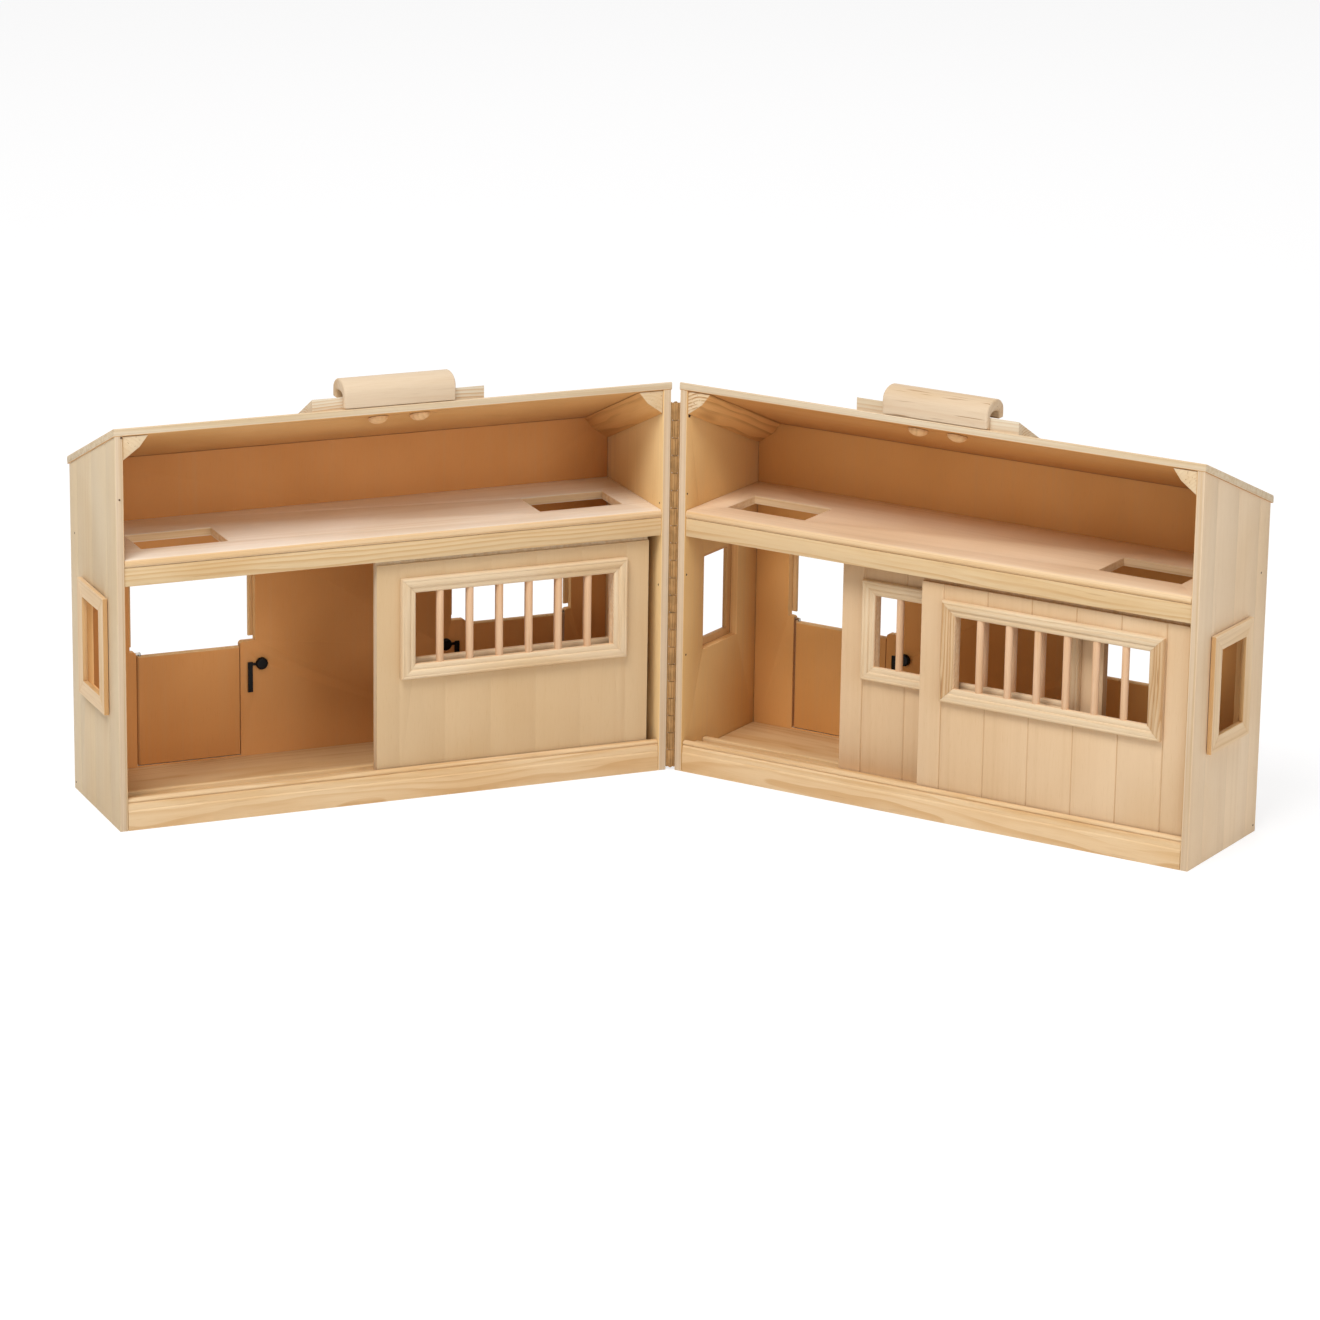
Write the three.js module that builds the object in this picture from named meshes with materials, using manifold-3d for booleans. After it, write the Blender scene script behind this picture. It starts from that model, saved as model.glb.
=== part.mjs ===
// Toy barn: two mirror-image half barns joined by one long upright hinge.
// Each half is a row of stalls with a hay loft above, open along its front.
// Millimetres, +Z up. In one half, u runs from the hinge to the far end,
// v from the open front to the outer wall, and z upwards.

import * as THREE from 'three';
import * as BufferGeometryUtils from 'three/addons/utils/BufferGeometryUtils.js';
import Module from 'manifold-3d';

const wasm = await Module();
wasm.setup();

// Half barn
const halfLength = 360;
const halfDepth = 94.7;
const wallThickness = 5;
const foldGap = 0.3;
const glueGap = 0.3;
const overrun = 2;
const weldTolerance = 0.0001;

// How far each half is swung back from a straight line, and the roof pitch
const swingDegrees = 27.2;
const roofDegrees = 22.4;

// Roof
const roofThickness = 4.5;
const roofEndOverhang = 0.5;
const roofBackOverhang = 2.9;
const roofEdgeChamfer = 0.8;

// Boarded faces: V grooves at a steady pitch
const boardPitch = 30.2;
const grooveWidth = 1.5;
const grooveDepth = 0.6;
const endGrooveFirst = 19.7;

// Ground floor and its front rail
const floorClearance = 4;
const floorThickness = 6.4;
const trackRibHeight = 5.6;
const trackRibWidth = 4;
const railHeight = 20;
const railThickness = 3.9;

// Loft
const loftTop = 170.5;
const ridgeAboveLoft = 82;
const loftThickness = 5;
const loftNoseRadius = 2;
const beamHeight = 11.2;
const beamSetback = 0.7;
const beamTailWidth = 2.8;

// Hay holes in the loft floor
const hayHoleLength = 55.5;
const hayHoleWidth = 34;
const hayHoleFromEnd = 22.5;
const hayHoleFromFront = 22.5;

// Sliding doors on two tracks
const doorLength = 181;
const doorThickness = 6;
const doorShoulderGap = 3.5;
const doorSetback = 5;
const trackSpacing = 14;
const tongueThickness = 3.6;
const tongueHeight = 7.5;
const tongueSetback = 2.2;
const tongueHeadroom = 1;
const slideClearance = 0.5;
const doorEndClearance = 0.7;
const leftFrontDoorStart = 11.6;
const leftRearDoorStart = 6.6;
const rightFrontDoorRest = 1.6;
const rightRearDoorStart = 108.5;

// Barred window in each sliding door
const grilleLength = 150.4;
const grilleHeight = 64.3;
const grilleBottom = 77;
const grilleRail = 9.2;
const grilleProud = 4;
const grilleBevel = 0.8;
const barRadius = 2.35;
const barPitch = 19.7;
const barCount = 6;
const barDepth = 0.4;
const barSocket = 2.6;

// Doorways in the outer wall: a half door below, an open hatch above that
// sits off the doorway's middle, toward the half door's free edge
const nearDoorwayFromEnd = 67.6;
const farDoorwayFromEnd = 73.4;
const hatchWidth = 82;
const hatchShift = 2.8;
const hatchTop = 150;
const ledgeHeight = 85.1;
const ledgeRadius = 2;
const lowerWidth = 68;
const sillHeight = 11;

// Half doors and their bent pivot wires
const halfDoorThickness = 4.6;
const halfDoorLedgeGap = 2.9;
const halfDoorRounding = 1.8;
const halfDoorEndGap = 0.6;
const halfDoorFloorGap = 0.6;
const wireRadius = 0.9;
const wireClearance = 0.3;
const wireAnchorDepth = 5;
const wireArmReach = 7;
const wireArmRise = 1.2;

// Casing round each hatch, on the outer face
const casingThickness = 3;
const casingWidth = 9.5;
const casingReveal = 2.8;
const casingFootGap = 1.7;
const casingBevel = 0.8;

// Turn latches beside the half doors
const latchHeight = 70;
const latchFromEdge = 13.8;
const latchShaftRadius = 1.3;
const latchKnobRadius = 3.9;
const latchKnobThickness = 2.2;
const latchFingerOffset = 7.6;
const latchFingerWidth = 3;
const latchFingerLength = 18;
const latchArmHeight = 1.4;
const latchPlateThickness = 1.2;
const latchLeverLength = 20;
const latchLeverWidth = 5;
const latchLeverThickness = 1.8;
const latchFaceGap = 0.4;

// Windows in the end walls
const windowFromFront = 24.5;
const windowWidth = 42;
const windowBottom = 74.5;
const windowHeight = 62.5;
const windowFrameLap = 5.5;
const windowFrameRail = 10;

// Carrying handle on the ridge
const gripStart = 142.8;
const gripLength = 72;
const gripRise = 16.4;
const gripDepth = 21.6;
const gripFrontLeg = 4.4;
const gripRearLeg = 5;
const gripFootRise = 3.2;
const gripSpringRise = 6.5;
const gripArchRise = 9.1;
const gripEndBevel = 0.8;
const plankNearOverhang = 20.1;
const plankFarOverhang = 19.2;
const plankRise = 6.3;
const plankBack = 38;
const plankBackHeight = 3.2;

// Wooden plugs that hold the handle plank through the roof
const plugStart = 162.8;
const plugSpacing = 27;
const plugFromFront = 10.5;
const plugRadius = 2.6;
const plugHeadRadius = 6.4;
const plugHeadHeight = 4;
const plugBite = 2.5;

// Corner blocks under the roof
const blockLeg = 16;
const blockDrop = 14.5;
const blockSetback = 0.7;

// Long hinge
const hingeSetout = 3;
const knuckleRadius = 2.2;
const knuckleCount = 21;
const knuckleGap = 0.4;
const hingeBottom = 2;
const hingeBelowRidge = 13.5;
const leafThickness = 0.7;
const leafWidth = 12;
const leafRelief = 1.6;
const leafTabOverlap = 0.6;
const hingePinRadius = 0.9;
const hingePinClearance = 0.3;
const hingePinOverhang = 0.5;

// Facets
const roundSteps = 4;
const pinSides = 10;
const barSides = 12;
const knuckleSides = 12;
const knobSides = 16;

// Sizes that follow from the ones above
const radians = Math.PI / 180;
const slope = Math.tan(roofDegrees * radians);
const roofDrop = roofThickness / Math.cos(roofDegrees * radians);
const innerStart = wallThickness;
const innerEnd = halfLength - wallThickness;
const ridgeHeight = loftTop + ridgeAboveLoft;
const fitStart = innerStart + glueGap;
const fitEnd = innerEnd - glueGap;
const wallInnerFace = halfDepth - wallThickness;
const fitBack = wallInnerFace - glueGap;
const floorTop = floorClearance + floorThickness;
const loftUnder = loftTop - loftThickness;
const beamTop = loftUnder - glueGap;
const beamBottom = beamTop - beamHeight;
const doorBottom = floorTop + slideClearance;
const doorFaceTop = beamBottom - doorShoulderGap;
const rightFrontDoorStart = innerEnd - doorEndClearance - rightFrontDoorRest - doorLength;
const trackTop = floorTop + trackRibHeight;
const hatchHalf = hatchWidth / 2;
const lowerHalf = lowerWidth / 2;
const nearDoorway = nearDoorwayFromEnd;
const farDoorway = halfLength - farDoorwayFromEnd;
const halfDoorTop = ledgeHeight - halfDoorLedgeGap;
const halfDoorRadius = halfDoorThickness / 2;
const pivotFromEdge = halfDoorRadius + slideClearance;
const pivotFromFace = wallThickness / 2;
const wireHoleRadius = wireRadius + wireClearance;
const wireArmHeight = halfDoorTop + wireArmRise;
const latchHoleRadius = latchShaftRadius + wireClearance;
const gripTop = ridgeHeight + gripRise;
const gripRearFoot = ridgeHeight + gripFootRise;
const gripSpring = ridgeHeight + gripSpringRise;
const gripArchTop = ridgeHeight + gripArchRise;
const plankFrontTop = ridgeHeight + plankRise;
const plankStart = gripStart - plankNearOverhang;
const plankEnd = gripStart + gripLength + plankFarOverhang;
const hingeTop = ridgeHeight - hingeBelowRidge;

function roofTopAt(v) {
  return ridgeHeight - slope * v;
}

function roofUnderAt(v) {
  return roofTopAt(v) - roofDrop;
}

function wallTopAt(v) {
  return roofUnderAt(v) - glueGap;
}

// Looks of the materials
const looks = {
  board: { color: 0xe6cba2, roughness: 0.62, metalness: 0 },
  inside: { color: 0xe3c495, roughness: 0.62, metalness: 0 },
  pine: { color: 0xe0bd82, roughness: 0.55, metalness: 0 },
  handle: { color: 0xe9d0ab, roughness: 0.5, metalness: 0 },
  black: { color: 0x24211f, roughness: 0.45, metalness: 0 },
  metal: { color: 0xb9b4a8, roughness: 0.35, metalness: 1 },
  brass: { color: 0xc39e63, roughness: 0.4, metalness: 1 },
};

// A closed geometry as a solid that can be joined and cut
function toSolid(geometry) {
  geometry.deleteAttribute('normal');
  geometry.deleteAttribute('uv');
  const merged = BufferGeometryUtils.mergeVertices(geometry, weldTolerance);
  const mesh = new wasm.Mesh({
    numProp: 3,
    vertProperties: new Float32Array(merged.attributes.position.array),
    triVerts: new Uint32Array(merged.index.array),
  });
  return new wasm.Manifold(mesh);
}

// A solid as a geometry; mirrored pieces get their faces turned again
function toGeometry(solid, mirrored) {
  const mesh = solid.getMesh();
  const positions = new Float32Array(mesh.vertProperties);
  const indices = new Uint32Array(mesh.triVerts);
  if (mirrored) {
    for (let i = 0; i < positions.length; i += 3) {
      positions[i] = -positions[i];
    }
    for (let i = 0; i < indices.length; i += 3) {
      const first = indices[i];
      indices[i] = indices[i + 1];
      indices[i + 1] = first;
    }
  }
  const geometry = new THREE.BufferGeometry();
  geometry.setAttribute('position', new THREE.BufferAttribute(positions, 3));
  geometry.setIndex(new THREE.BufferAttribute(indices, 1));
  const flat = geometry.toNonIndexed();
  flat.computeVertexNormals();
  return flat;
}

function outline(points) {
  return points.map((point) => new THREE.Vector2(point[0], point[1]));
}

// An outline drawn out by a depth, its rims chamfered by the bevel
function drawnOut(points, holes, depth, bevel) {
  const shape = new THREE.Shape(outline(points));
  for (const hole of holes) {
    shape.holes.push(new THREE.Path(outline(hole)));
  }
  const geometry = new THREE.ExtrudeGeometry(shape, {
    depth: depth - 2 * bevel,
    bevelEnabled: bevel > 0,
    bevelThickness: bevel,
    bevelSize: bevel,
    bevelOffset: -bevel,
    bevelSegments: 1,
    steps: 1,
  });
  geometry.translate(0, 0, bevel);
  return geometry;
}

// Outline in (v, z), drawn from u0 to u1
function alongU(points, u0, u1, holes = [], bevel = 0) {
  const geometry = drawnOut(points, holes, u1 - u0, bevel);
  geometry.applyMatrix4(new THREE.Matrix4().set(0, 0, 1, u0, 1, 0, 0, 0, 0, 1, 0, 0, 0, 0, 0, 1));
  return toSolid(geometry);
}

// Outline in (u, z), drawn from v0 to v1
function alongV(points, v0, v1, holes = [], bevel = 0) {
  const geometry = drawnOut(points, holes, v1 - v0, bevel);
  geometry.applyMatrix4(new THREE.Matrix4().set(1, 0, 0, 0, 0, 0, -1, v1, 0, 1, 0, 0, 0, 0, 0, 1));
  return toSolid(geometry);
}

// Outline in (u, v), drawn from z0 to z1
function alongZ(points, z0, z1) {
  const geometry = drawnOut(points, [], z1 - z0, 0);
  geometry.translate(0, 0, z0);
  return toSolid(geometry);
}

function block(u0, u1, v0, v1, z0, z1) {
  const geometry = new THREE.BoxGeometry(u1 - u0, v1 - v0, z1 - z0);
  geometry.translate((u0 + u1) / 2, (v0 + v1) / 2, (z0 + z1) / 2);
  return toSolid(geometry);
}

function rodAlongU(radius, u0, u1, v, z, sides) {
  const geometry = new THREE.CylinderGeometry(radius, radius, u1 - u0, sides);
  geometry.rotateZ(Math.PI / 2);
  geometry.translate((u0 + u1) / 2, v, z);
  return toSolid(geometry);
}

function rodAlongV(radius, v0, v1, u, z, sides) {
  const geometry = new THREE.CylinderGeometry(radius, radius, v1 - v0, sides);
  geometry.translate(u, (v0 + v1) / 2, z);
  return toSolid(geometry);
}

function rodAlongZ(radius, z0, z1, u, v, sides) {
  const geometry = new THREE.CylinderGeometry(radius, radius, z1 - z0, sides);
  geometry.rotateX(Math.PI / 2);
  geometry.translate(u, v, (z0 + z1) / 2);
  return toSolid(geometry);
}

function arc(x, y, radiusX, radiusY, startDegrees, endDegrees, steps) {
  const points = [];
  for (let i = 0; i <= steps; i += 1) {
    const angle = (startDegrees + ((endDegrees - startDegrees) * i) / steps) * radians;
    points.push([x + radiusX * Math.cos(angle), y + radiusY * Math.sin(angle)]);
  }
  return points;
}

function rectangle(x0, x1, y0, y1) {
  return [
    [x0, y0],
    [x1, y0],
    [x1, y1],
    [x0, y1],
  ];
}

// Cutter for one upright V groove in a face of constant v
function faceGroove(u, face, inward, z0, z1) {
  const half = grooveWidth / 2;
  return alongZ(
    [
      [u - half, face],
      [u, face + inward * grooveDepth],
      [u + half, face],
      [u + half, face - inward * overrun],
      [u - half, face - inward * overrun],
    ],
    z0,
    z1,
  );
}

// Cutter for one upright V groove in a face of constant u
function endGroove(v, face, inward) {
  const half = grooveWidth / 2;
  return alongZ(
    [
      [face, v - half],
      [face + inward * grooveDepth, v],
      [face, v + half],
      [face - inward * overrun, v + half],
      [face - inward * overrun, v - half],
    ],
    -overrun,
    ridgeHeight,
  );
}

// End wall with a window, its top following the roof
function endWall(outerFace, inward) {
  const innerFace = outerFace + inward * wallThickness;
  const u0 = Math.min(outerFace, innerFace);
  const u1 = Math.max(outerFace, innerFace);
  const profile = [
    [foldGap, 0],
    [halfDepth, 0],
    [halfDepth, wallTopAt(halfDepth)],
    [foldGap, wallTopAt(foldGap)],
  ];
  let wall = alongU(profile, u0, u1);
  for (let v = endGrooveFirst; v < halfDepth - grooveWidth; v += boardPitch) {
    wall = wall.subtract(endGroove(v, outerFace, inward));
  }
  const windowTop = windowBottom + windowHeight;
  const windowEnd = windowFromFront + windowWidth;
  return wall.subtract(
    block(u0 - overrun, u1 + overrun, windowFromFront, windowEnd, windowBottom, windowTop),
  );
}

// Casing round an end window, standing on the wall's outer face
function windowFrame(outerFace, inward) {
  const near = outerFace - inward * glueGap;
  const far = near - inward * casingThickness;
  const v0 = windowFromFront - windowFrameLap;
  const v1 = windowFromFront + windowWidth + windowFrameLap;
  const z0 = windowBottom - windowFrameLap;
  const z1 = windowBottom + windowHeight + windowFrameLap;
  const rail = windowFrameRail;
  const hole = rectangle(v0 + rail, v1 - rail, z0 + rail, z1 - rail);
  return alongU(
    rectangle(v0, v1, z0, z1),
    Math.min(near, far),
    Math.max(near, far),
    [hole],
    casingBevel,
  );
}

// Stepped doorway outline about its own middle
function doorwayOutline(toward) {
  const shift = toward * hatchShift;
  const right = arc(
    lowerHalf + ledgeRadius,
    ledgeHeight - ledgeRadius,
    ledgeRadius,
    ledgeRadius,
    180,
    90,
    roundSteps,
  );
  const left = right.map((point) => [-point[0], point[1]]).reverse();
  return [
    [-lowerHalf, sillHeight],
    [lowerHalf, sillHeight],
    ...right,
    [shift + hatchHalf, ledgeHeight],
    [shift + hatchHalf, hatchTop],
    [shift - hatchHalf, hatchTop],
    [shift - hatchHalf, ledgeHeight],
    ...left,
  ];
}

// Holes round a doorway for the pivot wire and the latch; toward is the side
// of the free edge, +1 for the doorway near the hinge and -1 for the far one
function doorwayBores(middle, toward) {
  const jamb = middle - toward * lowerHalf;
  const pivotU = jamb + toward * pivotFromEdge;
  const pivotV = halfDepth - pivotFromFace;
  const anchor = sillHeight - wireAnchorDepth - wireClearance;
  const armTip = pivotU - toward * (wireArmReach + wireClearance);
  const latchU = middle + toward * (lowerHalf + latchFromEdge);
  const foot = rodAlongZ(wireHoleRadius, anchor, sillHeight + overrun, pivotU, pivotV, pinSides);
  const arm = rodAlongU(
    wireHoleRadius,
    Math.min(armTip, pivotU),
    Math.max(armTip, pivotU),
    pivotV,
    wireArmHeight,
    pinSides,
  );
  const shaft = rodAlongV(
    latchHoleRadius,
    wallInnerFace - overrun,
    halfDepth + overrun,
    latchU,
    latchHeight,
    pinSides,
  );
  return foot.add(arm).add(shaft);
}

function outerWall() {
  const profile = [
    [wallInnerFace, 0],
    [halfDepth, 0],
    [halfDepth, wallTopAt(halfDepth)],
    [wallInnerFace, wallTopAt(wallInnerFace)],
  ];
  let wall = alongU(profile, fitStart, fitEnd);
  const middle = halfLength / 2;
  for (let offset = boardPitch / 2; middle + offset < innerEnd - grooveWidth; offset += boardPitch) {
    wall = wall.subtract(faceGroove(middle + offset, halfDepth, -1, -overrun, ridgeHeight));
    wall = wall.subtract(faceGroove(middle - offset, halfDepth, -1, -overrun, ridgeHeight));
  }
  for (const doorway of [
    { middle: nearDoorway, toward: 1 },
    { middle: farDoorway, toward: -1 },
  ]) {
    const cut = doorwayOutline(doorway.toward).map((point) => [point[0] + doorway.middle, point[1]]);
    wall = wall.subtract(alongV(cut, wallInnerFace - overrun, halfDepth + overrun));
    wall = wall.subtract(doorwayBores(doorway.middle, doorway.toward));
  }
  return wall;
}

// Casing round a hatch: two legs and a head, about the hatch's middle
function hatchCasing() {
  const inner = hatchHalf - casingReveal;
  const outer = inner + casingWidth;
  const foot = ledgeHeight + casingFootGap;
  const headUnder = hatchTop - casingReveal;
  const headTop = headUnder + casingWidth;
  const face = halfDepth + glueGap;
  return alongV(
    [
      [-outer, foot],
      [-inner, foot],
      [-inner, headUnder],
      [inner, headUnder],
      [inner, foot],
      [outer, foot],
      [outer, headTop],
      [-outer, headTop],
    ],
    face,
    face + casingThickness,
    [],
    casingBevel,
  );
}

// Half door about its pivot, reaching toward its free edge
function halfDoor(toward) {
  const reach = lowerWidth - pivotFromEdge - halfDoorEndGap;
  const radius = halfDoorRadius;
  const nose = arc(0, 0, radius, radius, 90, 270, 2 * roundSteps);
  const plan = [...nose, [reach, -radius], [reach, radius]].map((point) => [
    point[0] * toward,
    point[1],
  ]);
  const bottom = sillHeight + halfDoorFloorGap;
  let door = alongZ(plan, bottom, halfDoorTop);
  const shoulder = halfDoorTop - halfDoorRounding;
  const rounding = halfDoorRounding;
  const side = [
    [-radius, bottom - overrun],
    [radius, bottom - overrun],
    ...arc(radius - rounding, shoulder, rounding, rounding, 0, 90, roundSteps),
    ...arc(rounding - radius, shoulder, rounding, rounding, 90, 180, roundSteps),
  ];
  door = door.intersect(alongU(side, -halfDepth, halfDepth));
  for (const place of [(reach - boardPitch) / 2, (reach + boardPitch) / 2]) {
    door = door.subtract(faceGroove(toward * place, radius, -1, 0, ridgeHeight));
  }
  return door.subtract(rodAlongZ(wireHoleRadius, 0, ridgeHeight, 0, 0, pinSides));
}

// Bent wire that a half door turns on: up from the sill, then into the jamb
function pivotWire(toward) {
  const bottom = sillHeight - wireAnchorDepth;
  const upright = rodAlongZ(wireRadius, bottom, wireArmHeight, 0, 0, pinSides);
  const armEnd = -toward * wireArmReach;
  const arm = rodAlongU(
    wireRadius,
    Math.min(0, armEnd),
    Math.max(0, armEnd),
    0,
    wireArmHeight,
    pinSides,
  );
  const bend = new THREE.SphereGeometry(wireRadius, pinSides, pinSides / 2);
  bend.translate(0, 0, wireArmHeight);
  return upright.add(arm).add(toSolid(bend));
}

// Turn latch about its shaft; v is measured from the wall's outer face
function turnLatch(toward) {
  const innerFace = -wallThickness - latchFaceGap;
  const knob = rodAlongV(
    latchKnobRadius,
    innerFace - latchKnobThickness,
    innerFace,
    0,
    0,
    knobSides,
  );
  const lever = latchFaceGap + latchLeverThickness;
  const shaft = rodAlongV(latchShaftRadius, innerFace - latchPlateThickness, lever, 0, 0, pinSides);
  const half = latchFingerWidth / 2;
  const fingerInside = toward * (latchFingerOffset - half);
  const fingerOutside = toward * (latchFingerOffset + half);
  const finger = block(
    Math.min(fingerInside, fingerOutside),
    Math.max(fingerInside, fingerOutside),
    innerFace - latchPlateThickness,
    innerFace,
    -latchFingerLength,
    half,
  );
  const arm = block(
    Math.min(0, fingerOutside),
    Math.max(0, fingerOutside),
    innerFace - latchPlateThickness,
    innerFace,
    -latchArmHeight / 2,
    latchArmHeight / 2,
  );
  const leverHalf = latchLeverWidth / 2;
  const plate = alongV(
    [
      ...arc(0, 0, leverHalf, leverHalf, 0, 180, 2 * roundSteps),
      ...arc(0, leverHalf - latchLeverLength, leverHalf, leverHalf, 180, 360, 2 * roundSteps),
    ],
    latchFaceGap,
    lever,
  );
  return knob.add(shaft).add(finger).add(arm).add(plate);
}

function frontRail() {
  const front = foldGap;
  const back = foldGap + railThickness;
  const beadShares = [
    [1, 0],
    [1, 1],
    [0.72, 1],
    [0.4, 0.972],
    [0.24, 0.93],
    [0.3, 0.885],
    [0.5, 0.865],
    [0.22, 0.83],
    [0.1, 0.73],
    [0.16, 0.64],
    [0, 0.6],
    [0, 0],
  ];
  const profile = beadShares.map((share) => [
    front + (back - front) * share[0],
    railHeight * share[1],
  ]);
  return alongU(profile, fitStart, fitEnd);
}

// Ground floor with two ribs that keep the sliding doors in line
function groundFloor() {
  const start = foldGap + railThickness + glueGap;
  const panelBack = doorSetback + doorThickness + slideClearance;
  const nextPanel = doorSetback + trackSpacing - slideClearance;
  const nextBack = panelBack + trackSpacing;
  return alongU(
    [
      [start, floorClearance],
      [fitBack, floorClearance],
      [fitBack, floorTop],
      [nextBack + trackRibWidth, floorTop],
      [nextBack + trackRibWidth, trackTop],
      [nextBack, trackTop],
      [nextBack, floorTop],
      [nextPanel, floorTop],
      [nextPanel, trackTop],
      [panelBack, trackTop],
      [panelBack, floorTop],
      [start, floorTop],
    ],
    fitStart,
    fitEnd,
  );
}

// Beam under the loft with two grooves for the tongues of the sliding doors
function loftBeam() {
  const front = foldGap + beamSetback;
  const grooveStart = doorSetback + tongueSetback - slideClearance;
  const grooveEnd = doorSetback + tongueSetback + tongueThickness + slideClearance;
  const grooveTop = doorFaceTop + tongueHeight + tongueHeadroom;
  const back = grooveEnd + trackSpacing + beamTailWidth;
  return alongU(
    [
      [front, beamBottom],
      [grooveStart, beamBottom],
      [grooveStart, grooveTop],
      [grooveEnd, grooveTop],
      [grooveEnd, beamBottom],
      [grooveStart + trackSpacing, beamBottom],
      [grooveStart + trackSpacing, grooveTop],
      [grooveEnd + trackSpacing, grooveTop],
      [grooveEnd + trackSpacing, beamBottom],
      [back, beamBottom],
      [back, beamTop],
      [front, beamTop],
    ],
    fitStart,
    fitEnd,
  );
}

// Loft floor with a rounded front edge and two hay holes
function loftFloor() {
  const nose = loftNoseRadius;
  const middle = foldGap + nose;
  const profile = [
    [fitBack, loftUnder],
    [fitBack, loftTop],
    ...arc(middle, loftTop - nose, nose, nose, 90, 180, roundSteps),
    ...arc(middle, loftUnder + nose, nose, nose, 180, 270, roundSteps),
  ];
  const board = alongU(profile, fitStart, fitEnd);
  const v0 = hayHoleFromFront;
  const v1 = v0 + hayHoleWidth;
  const near = hayHoleFromEnd;
  const far = halfLength - hayHoleFromEnd - hayHoleLength;
  const z0 = loftUnder - overrun;
  const z1 = loftTop + overrun;
  return board
    .subtract(block(near, near + hayHoleLength, v0, v1, z0, z1))
    .subtract(block(far, far + hayHoleLength, v0, v1, z0, z1));
}

// Panel of a sliding door about its middle; v is measured from its front face
function doorPanel() {
  const half = doorLength / 2;
  const tongueBack = tongueSetback + tongueThickness;
  const tongueTop = doorFaceTop + tongueHeight;
  const profile = [
    [0, doorBottom],
    [doorThickness, doorBottom],
    [doorThickness, doorFaceTop],
    [tongueBack, doorFaceTop],
    [tongueBack, tongueTop],
    [tongueSetback, tongueTop],
    [tongueSetback, doorFaceTop],
    [0, doorFaceTop],
  ];
  let panel = alongU(profile, -half, half);
  for (let offset = boardPitch / 2; offset < half - grooveWidth; offset += boardPitch) {
    panel = panel.subtract(faceGroove(offset, 0, 1, 0, doorFaceTop + overrun));
    panel = panel.subtract(faceGroove(-offset, 0, 1, 0, doorFaceTop + overrun));
  }
  const hole = grilleHole();
  return panel.subtract(
    block(-hole.half, hole.half, -overrun, doorThickness + overrun, hole.bottom, hole.top),
  );
}

// Hole in the panel behind the grille; the bars end just inside it
function grilleHole() {
  const clear = barSocket + slideClearance;
  return {
    half: grilleLength / 2 - grilleRail + slideClearance,
    bottom: grilleBottom + grilleRail - clear,
    top: grilleBottom + grilleHeight - grilleRail + clear,
  };
}

// Frame with upright bars, set on the panel's front face
function grille() {
  const half = grilleLength / 2;
  const inner = half - grilleRail;
  const top = grilleBottom + grilleHeight;
  const openBottom = grilleBottom + grilleRail;
  const openTop = top - grilleRail;
  const hole = rectangle(-inner, inner, openBottom, openTop);
  let frame = alongV(
    rectangle(-half, half, grilleBottom, top),
    -grilleProud,
    -glueGap,
    [hole],
    grilleBevel,
  );
  for (let i = 0; i < barCount; i += 1) {
    const u = (i - (barCount - 1) / 2) * barPitch;
    const bar = rodAlongZ(
      barRadius,
      openBottom - barSocket,
      openTop + barSocket,
      u,
      -barDepth,
      barSides,
    );
    frame = frame.add(bar);
  }
  return frame;
}

// Cutter for the holes of the handle plugs, square to the roof
function plugHoles(depthAboveRoof) {
  const first = plugSolid(plugRadius + glueGap, roofThickness + depthAboveRoof + glueGap, false);
  const spots = plugSpots();
  return spots
    .map((spot) => first.translate(spot.u, spot.v, spot.z))
    .reduce((joined, next) => joined.add(next));
}

function plugSpots() {
  return [0, 1].map((i) => ({
    u: plugStart + i * plugSpacing,
    v: plugFromFront,
    z: roofUnderAt(plugFromFront),
  }));
}

// Plug square to the roof about its place on the roof's underside
function plugSolid(radius, length, headed) {
  const start = headed ? -glueGap : -overrun;
  const head = headed
    ? arc(0, start, plugHeadRadius, plugHeadHeight, 270, 360, roundSteps)
    : [[0, start]];
  const profile = outline([...head, [radius, start], [radius, length], [0, length]]);
  if (headed) {
    profile[0].x = 0;
  }
  const geometry = new THREE.LatheGeometry(profile, barSides);
  geometry.rotateX(Math.PI / 2);
  geometry.rotateX(-roofDegrees * radians);
  return toSolid(geometry);
}

function roofPanel() {
  const back = halfDepth + roofBackOverhang;
  const chamfer = roofEdgeChamfer;
  const profile = [
    [foldGap, roofUnderAt(foldGap)],
    [back - chamfer, roofUnderAt(back - chamfer)],
    [back, roofUnderAt(back) + chamfer],
    [back, roofTopAt(back) - chamfer],
    [back - chamfer, roofTopAt(back - chamfer)],
    [foldGap + chamfer, roofTopAt(foldGap + chamfer)],
    [foldGap, roofTopAt(foldGap) - chamfer],
  ];
  const panel = alongU(profile, -roofEndOverhang, halfLength + roofEndOverhang);
  return panel.subtract(plugHoles(overrun));
}

// Tapered plank that levels the grip on the sloping roof
function handlePlank() {
  const front = foldGap + gripFrontLeg + glueGap;
  const profile = [
    [front, roofTopAt(front) + glueGap],
    [plankBack, roofTopAt(plankBack) + glueGap],
    [plankBack, roofTopAt(plankBack) + glueGap + plankBackHeight],
    [front, plankFrontTop],
  ];
  return alongU(profile, plankStart, plankEnd).subtract(plugHoles(plugBite));
}

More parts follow.
